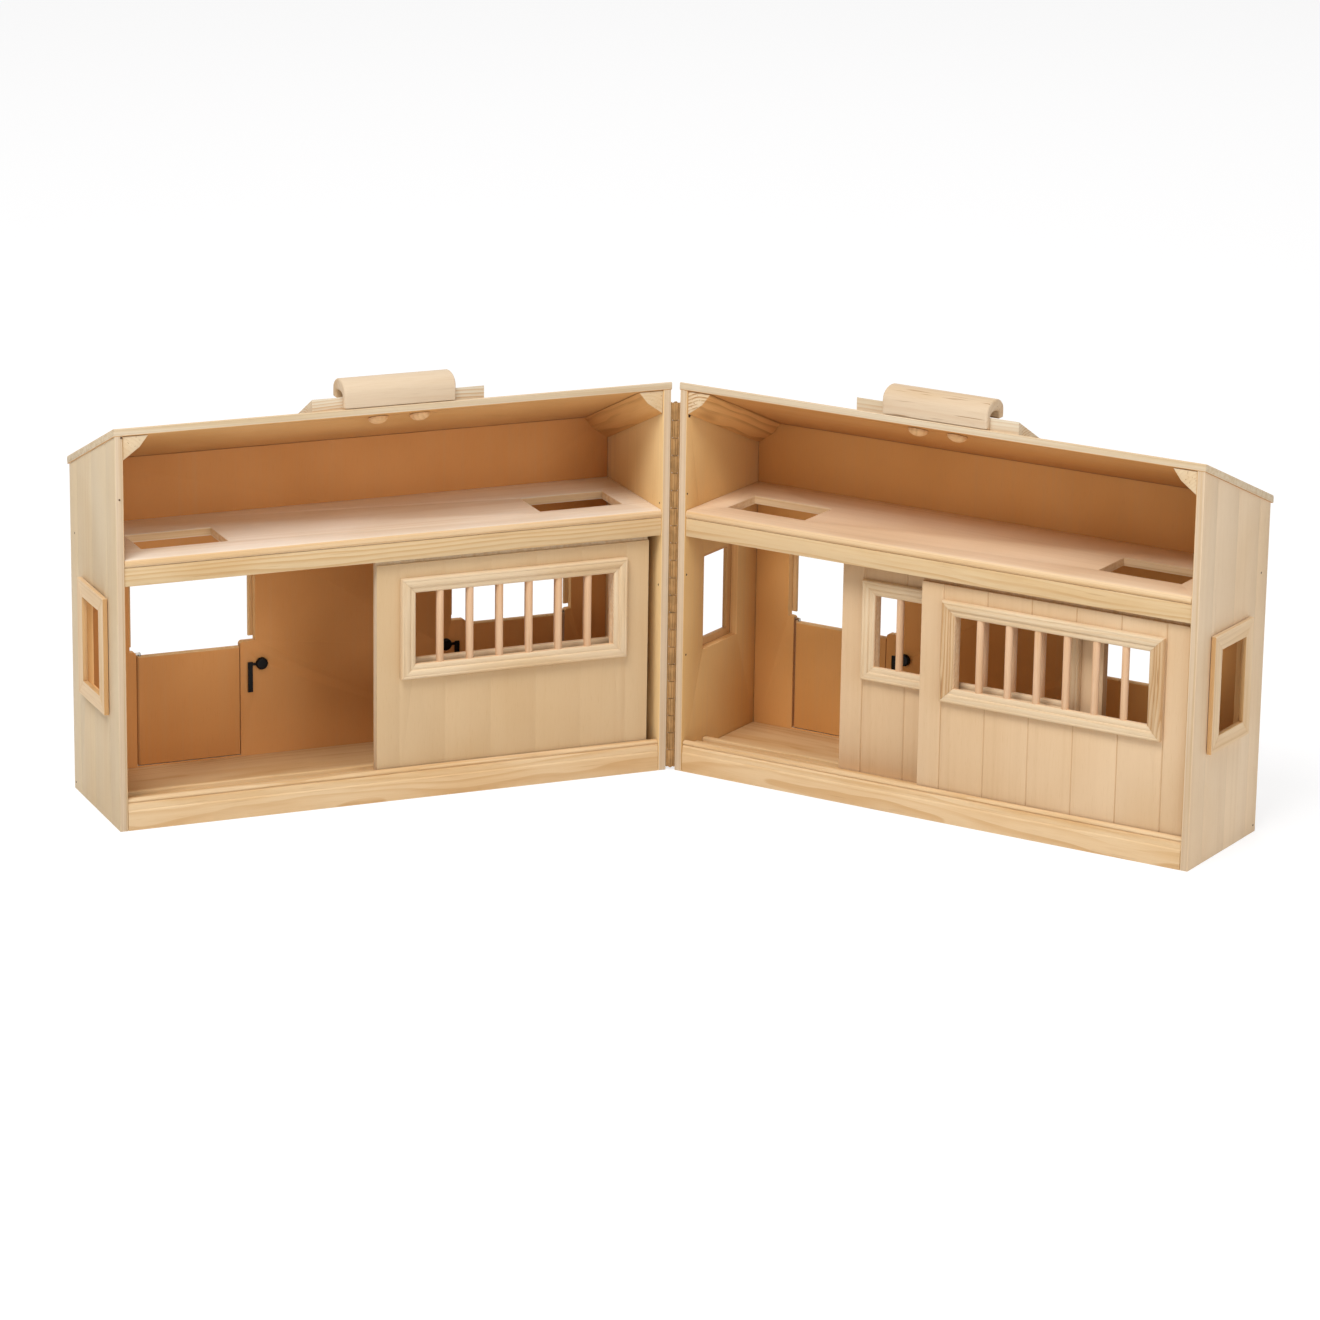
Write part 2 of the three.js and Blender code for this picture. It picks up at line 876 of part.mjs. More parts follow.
// Grip of an upside-down J section, its finger groove open to the back
function handleGrip() {
  const front = foldGap;
  const leg = foldGap + gripFrontLeg;
  const back = foldGap + gripDepth;
  const rearInner = back - gripRearLeg;
  const crown = gripTop - gripArchTop;
  const archMiddle = (leg + rearInner) / 2;
  const archHalf = (rearInner - leg) / 2;
  const archRise = gripArchTop - gripSpring;
  const topMiddle = (front + back) / 2;
  const topHalf = (back - front) / 2;
  const profile = [
    [front, roofTopAt(front) + glueGap],
    [leg, roofTopAt(leg) + glueGap],
    ...arc(archMiddle, gripSpring, archHalf, archRise, 180, 0, 2 * roundSteps),
    [rearInner, gripRearFoot],
    [back, gripRearFoot],
    ...arc(topMiddle, gripTop - crown, topHalf, crown, 0, 180, 3 * roundSteps),
  ];
  return alongU(profile, gripStart, gripStart + gripLength, [], gripEndBevel);
}

// Block in the corner of an end wall and the roof, its inner side of two flats;
// its ends are upright and its top follows the roof
function cornerBlock(wallFace, inward) {
  const front = foldGap + blockSetback;
  const sectionShares = [
    [0, 0],
    [1, 0],
    [0.66, 0.48],
    [0, 1],
  ];
  const points = sectionShares.map((share) => [
    inward * blockLeg * share[0],
    -blockDrop * share[1],
  ]);
  const geometry = drawnOut(points, [], fitBack - front, 0);
  geometry.applyMatrix4(new THREE.Matrix4().set(1, 0, 0, 0, 0, 0, -1, 0, 0, 1, slope, 0, 0, 0, 0, 1));
  geometry.translate(wallFace + inward * glueGap, fitBack, wallTopAt(fitBack));
  return toSolid(geometry);
}

// One leaf of the long hinge with its own knuckles
function hingeLeaf(firstKnuckle) {
  const near = -glueGap;
  const far = near - leafThickness;
  const pitch = (hingeTop - hingeBottom) / knuckleCount;
  const edge = leafRelief + leafTabOverlap;
  let leaf = block(far, near, leafRelief, leafWidth, hingeBottom, hingeTop);
  for (let i = firstKnuckle; i < knuckleCount; i += 2) {
    const z0 = hingeBottom + i * pitch + knuckleGap / 2;
    const z1 = z0 + pitch - knuckleGap;
    leaf = leaf.add(rodAlongZ(knuckleRadius, z0, z1, -hingeSetout, 0, knuckleSides));
    leaf = leaf.add(block(far - leafTabOverlap, near, 0, edge, z0, z1));
  }
  const bore = rodAlongZ(
    hingePinRadius + hingePinClearance,
    hingeBottom - overrun,
    hingeTop + overrun,
    -hingeSetout,
    0,
    pinSides,
  );
  return leaf.subtract(bore);
}

function hingePin() {
  return rodAlongZ(
    hingePinRadius,
    hingeBottom - hingePinOverhang,
    hingeTop + hingePinOverhang,
    -hingeSetout,
    0,
    pinSides,
  );
}

// One half barn: side is +1 for the right half and -1 for the left one
function halfBarn(side) {
  const label = side > 0 ? 'right' : 'left';
  const half = new THREE.Group();
  half.rotation.z = -side * swingDegrees * radians;

  const add = (name, solid, look, u = 0, v = 0, z = 0) => {
    const material = new THREE.MeshStandardMaterial(looks[look]);
    const mesh = new THREE.Mesh(toGeometry(solid, side < 0), material);
    mesh.name = `${label}_${name}`;
    mesh.position.set(side * (hingeSetout + u), v, z);
    half.add(mesh);
  };

  add('hinge_end_wall', endWall(0, 1), 'board');
  add('far_end_wall', endWall(halfLength, -1), 'board');
  add('outer_wall', outerWall(), 'board');
  add('roof_panel', roofPanel(), 'board');
  add('ground_floor', groundFloor(), 'inside');
  add('front_rail', frontRail(), 'pine');
  add('loft_floor', loftFloor(), 'board');
  add('loft_beam', loftBeam(), 'pine');
  add('hinge_corner_block', cornerBlock(innerStart, 1), 'pine');
  add('far_corner_block', cornerBlock(innerEnd, -1), 'pine');
  add('hinge_window_frame', windowFrame(0, 1), 'pine');
  add('far_window_frame', windowFrame(halfLength, -1), 'pine');
  add('handle_plank', handlePlank(), 'handle');
  add('handle_grip', handleGrip(), 'handle');

  plugSpots().forEach((spot, i) => {
    const plug = plugSolid(plugRadius, roofThickness + plugBite, true);
    add(`handle_plug_${i + 1}`, plug, 'handle', spot.u, spot.v, spot.z);
  });

  const doorways = [
    { name: 'near', middle: nearDoorway, toward: 1 },
    { name: 'far', middle: farDoorway, toward: -1 },
  ];
  for (const doorway of doorways) {
    const jamb = doorway.middle - doorway.toward * lowerHalf;
    const pivotU = jamb + doorway.toward * pivotFromEdge;
    const pivotV = halfDepth - pivotFromFace;
    const latchU = doorway.middle + doorway.toward * (lowerHalf + latchFromEdge);
    const hatchMiddle = doorway.middle + doorway.toward * hatchShift;
    add(`${doorway.name}_hatch_casing`, hatchCasing(), 'pine', hatchMiddle);
    add(`${doorway.name}_half_door`, halfDoor(doorway.toward), 'board', pivotU, pivotV);
    add(`${doorway.name}_pivot_wire`, pivotWire(doorway.toward), 'metal', pivotU, pivotV);
    add(
      `${doorway.name}_turn_latch`,
      turnLatch(-doorway.toward),
      'black',
      latchU,
      halfDepth,
      latchHeight,
    );
  }

  const starts =
    side > 0 ? [rightFrontDoorStart, rightRearDoorStart] : [leftFrontDoorStart, leftRearDoorStart];
  ['front', 'rear'].forEach((track, i) => {
    const u = starts[i] + doorLength / 2;
    const v = doorSetback + i * trackSpacing;
    add(`${track}_door_panel`, doorPanel(), 'board', u, v);
    add(`${track}_door_grille`, grille(), 'pine', u, v);
  });

  add('hinge_leaf', hingeLeaf(side > 0 ? 1 : 0), 'brass');
  if (side < 0) {
    add('hinge_pin', hingePin(), 'brass');
  }
  return half;
}

const barn = new THREE.Group();
barn.add(halfBarn(-1));
barn.add(halfBarn(1));

// The origin is on the ground, below the middle of the barn's box
const bounds = new THREE.Box3().setFromObject(barn);
const middle = bounds.getCenter(new THREE.Vector3());
for (const half of barn.children) {
  half.position.set(-middle.x, -middle.y, -bounds.min.z);
}

export default barn;
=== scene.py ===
import math

import bpy
from bpy.props import FloatProperty, FloatVectorProperty, IntProperty, PointerProperty
from mathutils import Matrix, Vector


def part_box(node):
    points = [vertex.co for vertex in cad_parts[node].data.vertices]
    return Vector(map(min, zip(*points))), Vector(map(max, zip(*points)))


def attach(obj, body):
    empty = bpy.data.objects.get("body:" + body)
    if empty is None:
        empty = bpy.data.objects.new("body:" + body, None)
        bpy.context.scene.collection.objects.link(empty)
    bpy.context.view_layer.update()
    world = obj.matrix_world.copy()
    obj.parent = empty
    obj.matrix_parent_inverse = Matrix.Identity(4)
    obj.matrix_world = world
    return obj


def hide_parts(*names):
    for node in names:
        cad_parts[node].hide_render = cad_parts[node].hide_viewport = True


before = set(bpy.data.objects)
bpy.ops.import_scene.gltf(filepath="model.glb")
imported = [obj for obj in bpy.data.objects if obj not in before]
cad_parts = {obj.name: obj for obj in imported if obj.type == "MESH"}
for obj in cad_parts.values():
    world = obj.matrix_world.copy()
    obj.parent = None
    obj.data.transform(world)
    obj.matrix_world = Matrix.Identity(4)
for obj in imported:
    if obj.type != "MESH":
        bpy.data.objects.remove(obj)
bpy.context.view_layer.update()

bl_info = {
    "name": "Folding toy barn",
    "version": (1, 0, 0),
    "blender": (4, 5, 0),
    "location": "3D View > Sidebar > Toy Barn",
    "description": "Dresses a folding wooden toy barn with sliding doors, half doors and a hay loft",
    "category": "Object",
}

MM = 0.001

SIDES = ("left", "right")
# How far each half is swung back from a straight line
SWING = math.radians(27.2)
# From the hinge's axis to the near end of each half
SETOUT = 3 * MM

# Places in one half: u from its hinge end, v from its open front, z upwards
ALONG, ACROSS, UP = (1, 0, 0), (0, 1, 0), (0, 0, 1)
HALF_LENGTH = 360 * MM
HALF_DEPTH = 94.7 * MM
WALL_THICKNESS = 5 * MM
RIDGE = 252.5 * MM
ROOF_SLOPE = math.radians(22.4)
ROOF_THICKNESS = 4.5 * MM
ROOF_NORMAL = Vector((0, math.sin(ROOF_SLOPE), math.cos(ROOF_SLOPE)))
ROOF_DOWN = Vector((0, math.cos(ROOF_SLOPE), -math.sin(ROOF_SLOPE)))
LOFT_MIDDLE, LOFT_THICKNESS = 168 * MM, 5 * MM
# Between pieces that touch, and what is left of it where the look closes it
GAP, HAIRLINE = 0.3 * MM, 0.03 * MM

# Sliding doors: the front of each track's doors, and where they start
TRACKS = {"front": 5 * MM, "rear": 19 * MM}
DOOR_STARTS = {
    ("left", "front"): 11.6 * MM,
    ("left", "rear"): 6.6 * MM,
    ("right", "front"): 171.7 * MM,
    ("right", "rear"): 108.5 * MM,
}
DOOR_LENGTH, DOOR_THICKNESS = 181 * MM, 6 * MM
# Window mouldings: their length, height, width of the strips and thickness
DOOR_WINDOW = 150.4 * MM, 64.3 * MM, 9.2 * MM, 4 * MM
DOOR_WINDOW_LOW = 77 * MM
BAR_PITCH, BAR_SOCKET, BAR_SETBACK = 19.7 * MM, 2.4 * MM, 0.4 * MM
END_WINDOW = 53 * MM, 73.5 * MM, 10 * MM, 3.3 * MM
END_WINDOW_MIDDLE = 45.5 * MM, 105.75 * MM

# Half doors: their middles, those of the hatches above them, and the ledges between
DOORWAYS = {"near": 67.6 * MM, "far": 286.6 * MM}
HATCHES = {"near": 70.4 * MM, "far": 283.8 * MM}
LEDGE, HATCH_TOP = 85.1 * MM, 160 * MM
HALF_DOOR_THICKNESS = 4.6 * MM
KNOB_RADIUS, KNOB_ROUNDING = 3.9 * MM, 1.5 * MM

# How deep the grooves of the boards look, as a share of their cut depth
GROOVE_LOOK = {"end_wall": 0.45, "left": 0.3, "right": 0.95}
GROOVE_DEPTH = 0.6 * MM

# Nail heads: place in a half in mm, the way the face there looks, and size
INWARDS, FORWARDS = (1, 0, 0), (0, -1, 0)
SHARED_NAILS = (((360, 86, 166.5), INWARDS, 1), ((360, 91.5, 4.5), INWARDS, 1))
NAILS = {
    "left": SHARED_NAILS + (
        ((5, 4.6, 174), INWARDS, 1), ((5, 4.6, 121), INWARDS, 1),
        ((357.6, 0, 208.5), FORWARDS, 0.8), ((355.9, 0, 246.6), FORWARDS, 1),
    ),
    "right": SHARED_NAILS + (
        ((5, 2.4, 181), INWARDS, 1), ((5, 3.0, 128.5), INWARDS, 1), ((5, 3.8, 76), INWARDS, 1),
        ((5, 3.5, 231.2), INWARDS, 2.2),
    ),
}
NAIL_DEPTH, NAIL_RISE, NAIL_ROUNDING = 0.3 * MM, 0.07 * MM, 0.06 * MM

# Hinge leaves: from the end wall to the leaf, its thickness and the span of its width
LEAF_NEAR, LEAF_THICKNESS = 0.3 * MM, 0.7 * MM
LEAF_START, LEAF_WIDTH = 0.1 * MM, 12 * MM
# Knuckles: the gap between two, the depth of the strip that carries one, and the slit beside the pin
KNUCKLES, KNUCKLE_GAP, WEB_DEPTH = 21, 0.5 * MM, 0.6 * MM
SLIT = 0.35 * MM, 0.85 * MM
# Screws: radius, place along the width, how far a head rises, and its slot's width and bottom
SCREWS, SCREW_RADIUS, SCREW_PLACE = 6, 1.8 * MM, 7.2 * MM
SCREW_RISE, SLOT_WIDTH, SLOT_BOTTOM = 0.35 * MM, 0.5 * MM, 0.12 * MM
# How far one solid reaches into another where they are joined
OVERLAP = 0.1 * MM

# Lamps: name, place, height of the point that it looks at, width and power
LAMPS = (
    ("Key light", (-0.8, -1.95, 3.2), 0.12, 1.8, 86),
    ("Fill light", (2.2, -2.4, 1.4), 0.1, 1.8, 18),
    ("Back light", (0.0, 2.2, 2.6), 0.1, 2.2, 14),
)
CAMERA_PLACE = (0.215818, -3.159248, 1.020231)
CAMERA_TURN = [math.radians(angle) for angle in (73.5253, -0.8267, 4.2358)]
CAMERA_LENS, CAMERA_SENSOR = 144.79, 36
FLOOR_RADIUS = 14


# Sizes and colours

def length(name, description, default, least, most):
    """A length that can be set, all its values given in millimetres."""
    return FloatProperty(
        name=name, description=description, default=default * MM, min=least * MM, max=most * MM,
        unit="LENGTH", precision=5,
    )


class BarnSizes(bpy.types.PropertyGroup):
    board_edge: length("Board edge", "Rounding of the sawn edges of boards and panels", 0.35, 0.05, 1)
    strip_edge: length("Strip edge", "Rounding of the edges of grips and planks", 0.6, 0.05, 1.5)
    moulding_step: length("Moulding step", "From the outer to the inner band of a moulding", 0.8, 0.1, 1.5)
    bar_radius: length("Bar radius", "Radius of the round bars in the door windows", 2.35, 1, 3)
    ring_spacing: length("Ring spacing", "Distance between the growth rings of the pine strips", 2.6, 0.5, 8)
    nail_radius: length("Nail radius", "Radius of the small nail heads", 0.7, 0.3, 2)
    knuckle_radius: length("Knuckle radius", "Radius of the rolled knuckles of the long hinge", 1.95, 1, 2.2)
    bar_count: IntProperty(
        name="Bars", description="Number of round bars in each door window", default=6, min=1, max=12,
    )


def colour(name, description, default):
    return FloatVectorProperty(
        name=name, description=description, default=default,
        subtype="COLOR", size=3, min=0, max=1,
    )


class BarnColours(bpy.types.PropertyGroup):
    board: colour("Board", "Pale face of the plywood boards", (0.78, 0.575, 0.37))
    board_streak: colour("Board streak", "Grain streaks in the boards", (0.66, 0.45, 0.26))
    board_edge: colour("Board edge", "Sawn edges of the boards", (0.77, 0.64, 0.47))
    # Painted shade: the inner faces of the outer walls and half doors are darker and more orange than the
    # board, partly bare inner wood and partly shade painted in
    inside_left: colour("Left board inside", "Inside of the left outer wall", (0.765, 0.37, 0.13))
    inside_right: colour("Right board inside", "Inside of the right outer wall", (0.84, 0.45, 0.16))
    door_left: colour("Left door", "Boards of the left sliding doors", (0.70, 0.51, 0.305))
    door_right: colour("Right door", "Boards of the right sliding doors", (0.78, 0.575, 0.37))
    door_edge_left: colour("Left door edge", "Edges of the left sliding doors", (0.77, 0.64, 0.47))
    door_edge_right: colour("Right door edge", "Edges of the right sliding doors", (0.62, 0.42, 0.25))
    # Painted shade: the roof panels' undersides are darker and more orange than the board, the right one
    # darker still
    roof_left: colour("Left roof inside", "Underside of the left roof", (0.71, 0.40, 0.16))
    roof_right: colour("Right roof inside", "Underside of the right roof", (0.60, 0.29, 0.095))
    # Painted light and shade: the hinge end walls' inner faces are paler on the left half, which faces the
    # key light, and darker and more orange on the right
    hinge_left: colour("Left hinge wall inside", "Inside of the left hinge end wall", (0.92, 0.66, 0.34))
    hinge_right: colour("Right hinge wall inside", "Inside of the right hinge end wall", (0.78, 0.50, 0.22))
    # Lit and shaded copies of one board colour: the left half's outer faces are darker and greener, painted
    # shade
    wall_left: colour("Left wall", "Outer face of the left half's walls", (0.79, 0.64, 0.445))
    wall_right: colour("Right wall", "Outer face of the right half's walls", (0.87, 0.68, 0.48))
    wall_edge: colour("Wall edge", "Sawn edges of the walls", (0.73, 0.58, 0.42))
    end_inside: colour("End wall inside", "Inner face of the far end walls", (0.76, 0.52, 0.27))
    # The cut faces of the openings are a deeper orange than the board: partly cut wood and partly painted
    # shade
    jamb: colour("Jamb", "Cut faces of the window openings", (0.90, 0.56, 0.25))
    # Painted light: the door windows' cut faces and reveals are paler than the board, so that they look lit
    sill: colour("Sill", "Cut faces of the door windows", (0.95, 0.72, 0.48))
    # Painted shade: the cut faces beside the half doors and the half doors' ends are dark brown, standing in
    # for the shade in the gaps there
    shaded_jamb: colour("Dark jamb", "Cut faces beside the half doors", (0.66, 0.36, 0.15))
    # Painted light: the loft floors are paler than the board, the left one paler still, so that their tops
    # look lit
    loft_left: colour("Left loft", "Face of the left loft floor", (0.93, 0.84, 0.73))
    loft_right: colour("Right loft", "Face of the right loft floor", (0.90, 0.71, 0.51))
    loft_cut: colour("Loft cut", "Cut edges of the loft floors", (0.86, 0.64, 0.40))
    pine: colour("Pine", "Early wood of the pine strips", (0.79, 0.57, 0.32))
    pine_ring: colour("Pine ring", "Late wood of the pine strips", (0.60, 0.34, 0.13))
    moulding: colour("Moulding", "Smooth wood of the door windows' mouldings", (0.80, 0.63, 0.43))
    moulding_ring: colour("Moulding ring", "Grain lines in the mouldings", (0.64, 0.41, 0.20))
    moulding_wild: colour("Knotty moulding", "Browner stiles of the right front window", (0.70, 0.50, 0.30))
    window_wood: colour("End window moulding", "Mouldings of the end walls' windows", (0.86, 0.645, 0.42))
    # Painted shade: the edges and inner reveals of the end walls' mouldings are a darker orange than the
    # moulding
    window_edge: colour("End window edge", "Edges of the end walls' mouldings", (0.70, 0.43, 0.20))
    beam: colour("Beam", "Early wood of the loft beams", (0.77, 0.575, 0.34))
    rail: colour("Front rail", "Early wood of the front rails", (0.80, 0.59, 0.36))
    plank: colour("Plank", "Early wood of the planks under the grips", (0.78, 0.68, 0.53))
    block: colour("Corner block", "Early wood of the corner blocks", (0.78, 0.44, 0.17))
    block_ring: colour("Corner block ring", "Late wood of the corner blocks", (0.46, 0.22, 0.07))
    block_end: colour("Corner block end", "End wood of the corner blocks", (0.82, 0.65, 0.44))
    plug: colour("Plug", "End wood of the plugs", (0.86, 0.55, 0.29))
    handle: colour("Handle", "Smooth wood of the grips", (0.77, 0.61, 0.44))
    handle_ring: colour("Handle ring", "Grain lines in the grips", (0.64, 0.42, 0.24))
    bar: colour("Bar", "Wood of the round bars", (0.80, 0.54, 0.35))
    casing: colour("Casing", "Strips round the hatches", (0.86, 0.58, 0.30))
    black: colour("Latch black", "Paint on the turn latches", (0.007, 0.006, 0.005))
    brass: colour("Brass", "Aged brass of the long hinge", (0.50, 0.29, 0.12))
    steel: colour("Steel", "Bright steel of the pivot wires", (0.56, 0.54, 0.50))
    nail: colour("Nail", "Darkened heads of the small nails", (0.14, 0.075, 0.035))
    floor: colour("Floor", "Pale studio floor", (0.86, 0.86, 0.86))


def colours():
    return bpy.context.scene.barn_colours


def sizes():
    return bpy.context.scene.barn_sizes


def of_side(key, side):
    """The left or the right half's colour of this name."""
    return getattr(colours(), f"{key}_{side}")


# Frame of one half

def half_matrix(side):
    """From (u, v, z) of one half to the barn's frame; the left half is mirrored."""
    low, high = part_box("left_hinge_pin")
    middle = (low + high) / 2
    base = Matrix.Rotation(-SWING, 4, "Z") @ Matrix.Translation((SETOUT, 0, 0))
    if side == "left":
        base = Matrix.Scale(-1, 4, (1, 0, 0)) @ base
    return Matrix.Translation((middle.x, middle.y, 0)) @ base


# Modelling helpers

# Edges that bend by more are eased, and those that bend by less are shaded smooth
SHARP_EDGE, SMOOTH_EDGE, SMOOTH_WIRE = (math.radians(angle) for angle in (28, 38, 50))
# How near to a plane a point counts as lying in it
NEAR = 0.05 * MM


def only(*objects):
    """Selects just these objects, in object mode."""
    if bpy.context.object and bpy.context.object.mode != "OBJECT":
        bpy.ops.object.mode_set(mode="OBJECT")
    bpy.ops.object.select_all(action="DESELECT")
    for piece in objects:
        piece.select_set(True)
    bpy.context.view_layer.objects.active = objects[-1]


def editing(piece):
    """Opens a piece for editing, with all its faces selected."""
    only(piece)
    bpy.ops.object.mode_set(mode="EDIT")
    bpy.ops.mesh.select_mode(type="FACE")
    bpy.ops.mesh.select_all(action="SELECT")


def done_editing():
    bpy.ops.object.mode_set(mode="OBJECT")


def pick(piece, test, kind):
    """Opens a piece for editing, with the edges or points that pass the test selected."""
    bpy.ops.object.mode_set(mode="OBJECT")
    mesh = piece.data
    for items in (mesh.vertices, mesh.edges, mesh.polygons):
        for item in items:
            item.select = False
    for item in {"EDGE": mesh.edges, "VERT": mesh.vertices}[kind]:
        item.select = bool(test(item))
    bpy.ops.object.mode_set(mode="EDIT")
    bpy.ops.mesh.select_mode(type=kind)


def named(name):
    """Names the new object and makes its place and size part of its mesh."""
    piece = bpy.context.object
    piece.name = piece.data.name = name
    bpy.ops.object.transform_apply(location=True, rotation=True, scale=True)
    return piece


def block(name, low, high):
    """A block between two corners."""
    bpy.ops.object.select_all(action="DESELECT")
    low, high = Vector(low), Vector(high)
    bpy.ops.mesh.primitive_cube_add(size=1, location=(low + high) / 2, scale=high - low)
    return named(name)


def rod(name, radius, start, end, sides=24):
    """A round rod between two points."""
    bpy.ops.object.select_all(action="DESELECT")
    start, end = Vector(start), Vector(end)
    axis = end - start
    bpy.ops.mesh.primitive_cylinder_add(
        vertices=sides, radius=radius, depth=axis.length, location=(start + end) / 2,
        rotation=axis.to_track_quat("Z", "Y").to_euler(),
    )
    return named(name)


def modified(piece, kind, **values):
    """Adds a modifier, sets its values and applies it."""
    only(piece)
    modifier = piece.modifiers.new(kind.title(), kind)
    for key, value in values.items():
        setattr(modifier, key, value)
    bpy.ops.object.modifier_apply(modifier=modifier.name)


def smoothed(piece, angle=SMOOTH_WIRE):
    """Smooths the shading across edges that bend by less than the angle."""
    only(piece)
    bpy.ops.object.shade_smooth_by_angle(angle=angle)
    return piece


def eased(piece, width, segments=2):
    """Rounds the sharp edges of a piece a little and smooths its shading."""
    modified(
        piece, "BEVEL", width=width, segments=segments, limit_method="ANGLE",
        angle_limit=SHARP_EDGE, use_clamp_overlap=True, miter_outer="MITER_ARC",
    )
    return smoothed(piece, SMOOTH_EDGE)


def hollowed(piece, cutter):
    """Takes one piece out of another and removes it."""
    modified(piece, "BOOLEAN", object=cutter, operation="DIFFERENCE", solver="EXACT")
    bpy.data.objects.remove(cutter)


def copy_of_node(node):
    """A merged copy of a node's mesh as a new piece, its flat faces whole again."""
    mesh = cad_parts[node].data.copy()
    mesh.materials.clear()
    piece = bpy.data.objects.new(f"{node}_piece", mesh)
    piece.data.name = piece.name
    bpy.context.scene.collection.objects.link(piece)
    editing(piece)
    bpy.ops.mesh.remove_doubles(threshold=0.002 * MM)
    bpy.ops.mesh.tris_convert_to_quads(
        face_threshold=math.radians(0.5), shape_threshold=math.radians(180),
    )
    bpy.ops.mesh.customdata_custom_splitnormals_clear()
    done_editing()
    return piece


def placed(piece, matrix):
    """Puts a piece's mesh where the matrix says and leaves its object at the origin."""
    only(piece)
    piece.matrix_world = matrix @ piece.matrix_world
    bpy.ops.object.transform_apply(location=True, rotation=True, scale=True)
    if matrix.to_3x3().determinant() < 0:
        editing(piece)
        bpy.ops.mesh.normals_make_consistent(inside=False)
        done_editing()
    return piece


def twin(piece, name):
    """A copy of a piece with its own mesh."""
    copy = piece.copy()
    copy.data = piece.data.copy()
    copy.name = copy.data.name = name
    bpy.context.scene.collection.objects.link(copy)
    return copy


def row_of(name, piece, places):
    """Copies of a piece at several places, as a list, without the first piece."""
    copies = [
        placed(twin(piece, f"{name}_{i}"), Matrix.Translation(place)) for i, place in enumerate(places)
    ]
    bpy.data.objects.remove(piece)
    return copies


def joined(name, *pieces):
    only(*pieces)
    bpy.ops.object.join()
    piece = bpy.context.object
    piece.name = piece.data.name = name
    return piece


def moved_points(piece, side, test, shift):
    """Moves the points that pass the test; test and shift are in (u, v, z) of the half."""
    to_barn = half_matrix(side)
    back = to_barn.inverted()
    pick(piece, lambda point: test(back @ point.co), "VERT")
    bpy.ops.transform.translate(value=to_barn.to_3x3() @ Vector(shift))
    done_editing()
    return piece


def shallower(piece, side, axis, face, inward, look):
    """Fills the V grooves of a boarded face up to a share of their depth."""
    bottom = face + inward * GROOVE_DEPTH
    shift = Vector()
    shift[axis] = -inward * GROOVE_DEPTH * (1 - look)
    return moved_points(piece, side, lambda place: abs(place[axis] - bottom) < NEAR, shift)


def second_finish(piece, side, test, material):
    """Gives another material to the faces whose middle and normal in (u, v, z) pass the test."""
    back = half_matrix(side).inverted()
    turn = back.to_3x3()
    piece.data.materials.append(material)
    index = len(piece.data.materials) - 1
    for face in piece.data.polygons:
        if test(back @ face.center, turn @ face.normal):
            face.material_index = index


def filled_slots(piece, *materials):
    for index, material in enumerate(materials):
        piece.data.materials[index] = material


def dropped(piece):
    """Removes a piece that copies were made of, with its blank materials."""
    blanks = list(piece.data.materials)
    bpy.data.objects.remove(piece)
    for blank in blanks:
        bpy.data.materials.remove(blank)


def body_of_half(side):
    return f"{side}_barn"


def finished(piece, body, material, slot, *nodes):
    """Gives a piece its material and its body, and hides the nodes that it stands for."""
    if material is not None:
        piece.data.materials.clear()
        piece.data.materials.append(material)
    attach(piece, body)
    if nodes:
        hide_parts(*nodes)
    return piece


def from_node(side, node, material, slot, width, body=None):
    """A piece with the shape of a node, its edges eased by the width."""
    return finished(eased(copy_of_node(node), width), body or body_of_half(side), material, slot, node)


# Shader groups

class Wiring:
    """Adds nodes to a tree and links them by name."""

    def __init__(self, tree):
        self.tree = tree
        self.count = 0

    def add(self, kind, **values):
        node = self.tree.nodes.new(kind)
        node.location = (220 * (self.count % 8), -260 * (self.count // 8))
        self.count += 1
        inputs = values.pop("inputs", {})
        for key, value in values.items():
            setattr(node, key, value)
        for key, value in inputs.items():
            self.feed(node.inputs[key], value)
        return node

    def feed(self, target, value):
        if isinstance(value, bpy.types.NodeSocket):
            self.tree.links.new(value, target)
        else:
            target.default_value = value

    def math(self, operation, first, second=0.0, clamp=False):
        return self.add(
            "ShaderNodeMath", operation=operation, use_clamp=clamp, inputs={0: first, 1: second}
        ).outputs[0]

    def times(self, first, second, clamp=False):
        return self.math("MULTIPLY", first, second, clamp)

    def plus(self, first, second):
        return self.math("ADD", first, second)

    def less(self, first, second):
        return self.math("SUBTRACT", first, second)

    def vector(self, operation, first, second):
        return self.add("ShaderNodeVectorMath", operation=operation, inputs={0: first, 1: second}).outputs[0]

    def mix(self, factor, first, second, blend="MIX"):
        return self.add(
            "ShaderNodeMix", data_type="RGBA", blend_type=blend, clamp_factor=True,
            inputs={0: factor, 6: first, 7: second},
        ).outputs[2]

    def tinted(self, tone, amount, tint):
        """Multiplies a colour by a tint where the amount is 1."""
        return self.mix(amount, tone, self.mix(1.0, tone, (*tint, 1), "MULTIPLY"))

    def ramp(self, value, low, high):
        return self.add(
            "ShaderNodeMapRange", clamp=True, interpolation_type="SMOOTHSTEP",
            inputs={"Value": value, "From Min": low, "From Max": high},
        ).outputs["Result"]

    def noise(self, vector, repeats, detail=2.0, roughness=0.5, distortion=0.0, output="Fac"):
        """Noise with this many repeats to a metre along X, Y and Z."""
        return self.add(
            "ShaderNodeTexNoise", noise_dimensions="3D",
            inputs={
                "Vector": self.vector("MULTIPLY", vector, repeats), "Scale": 1.0, "Detail": detail,
                "Roughness": roughness, "Distortion": distortion,
            },
        ).outputs[output]


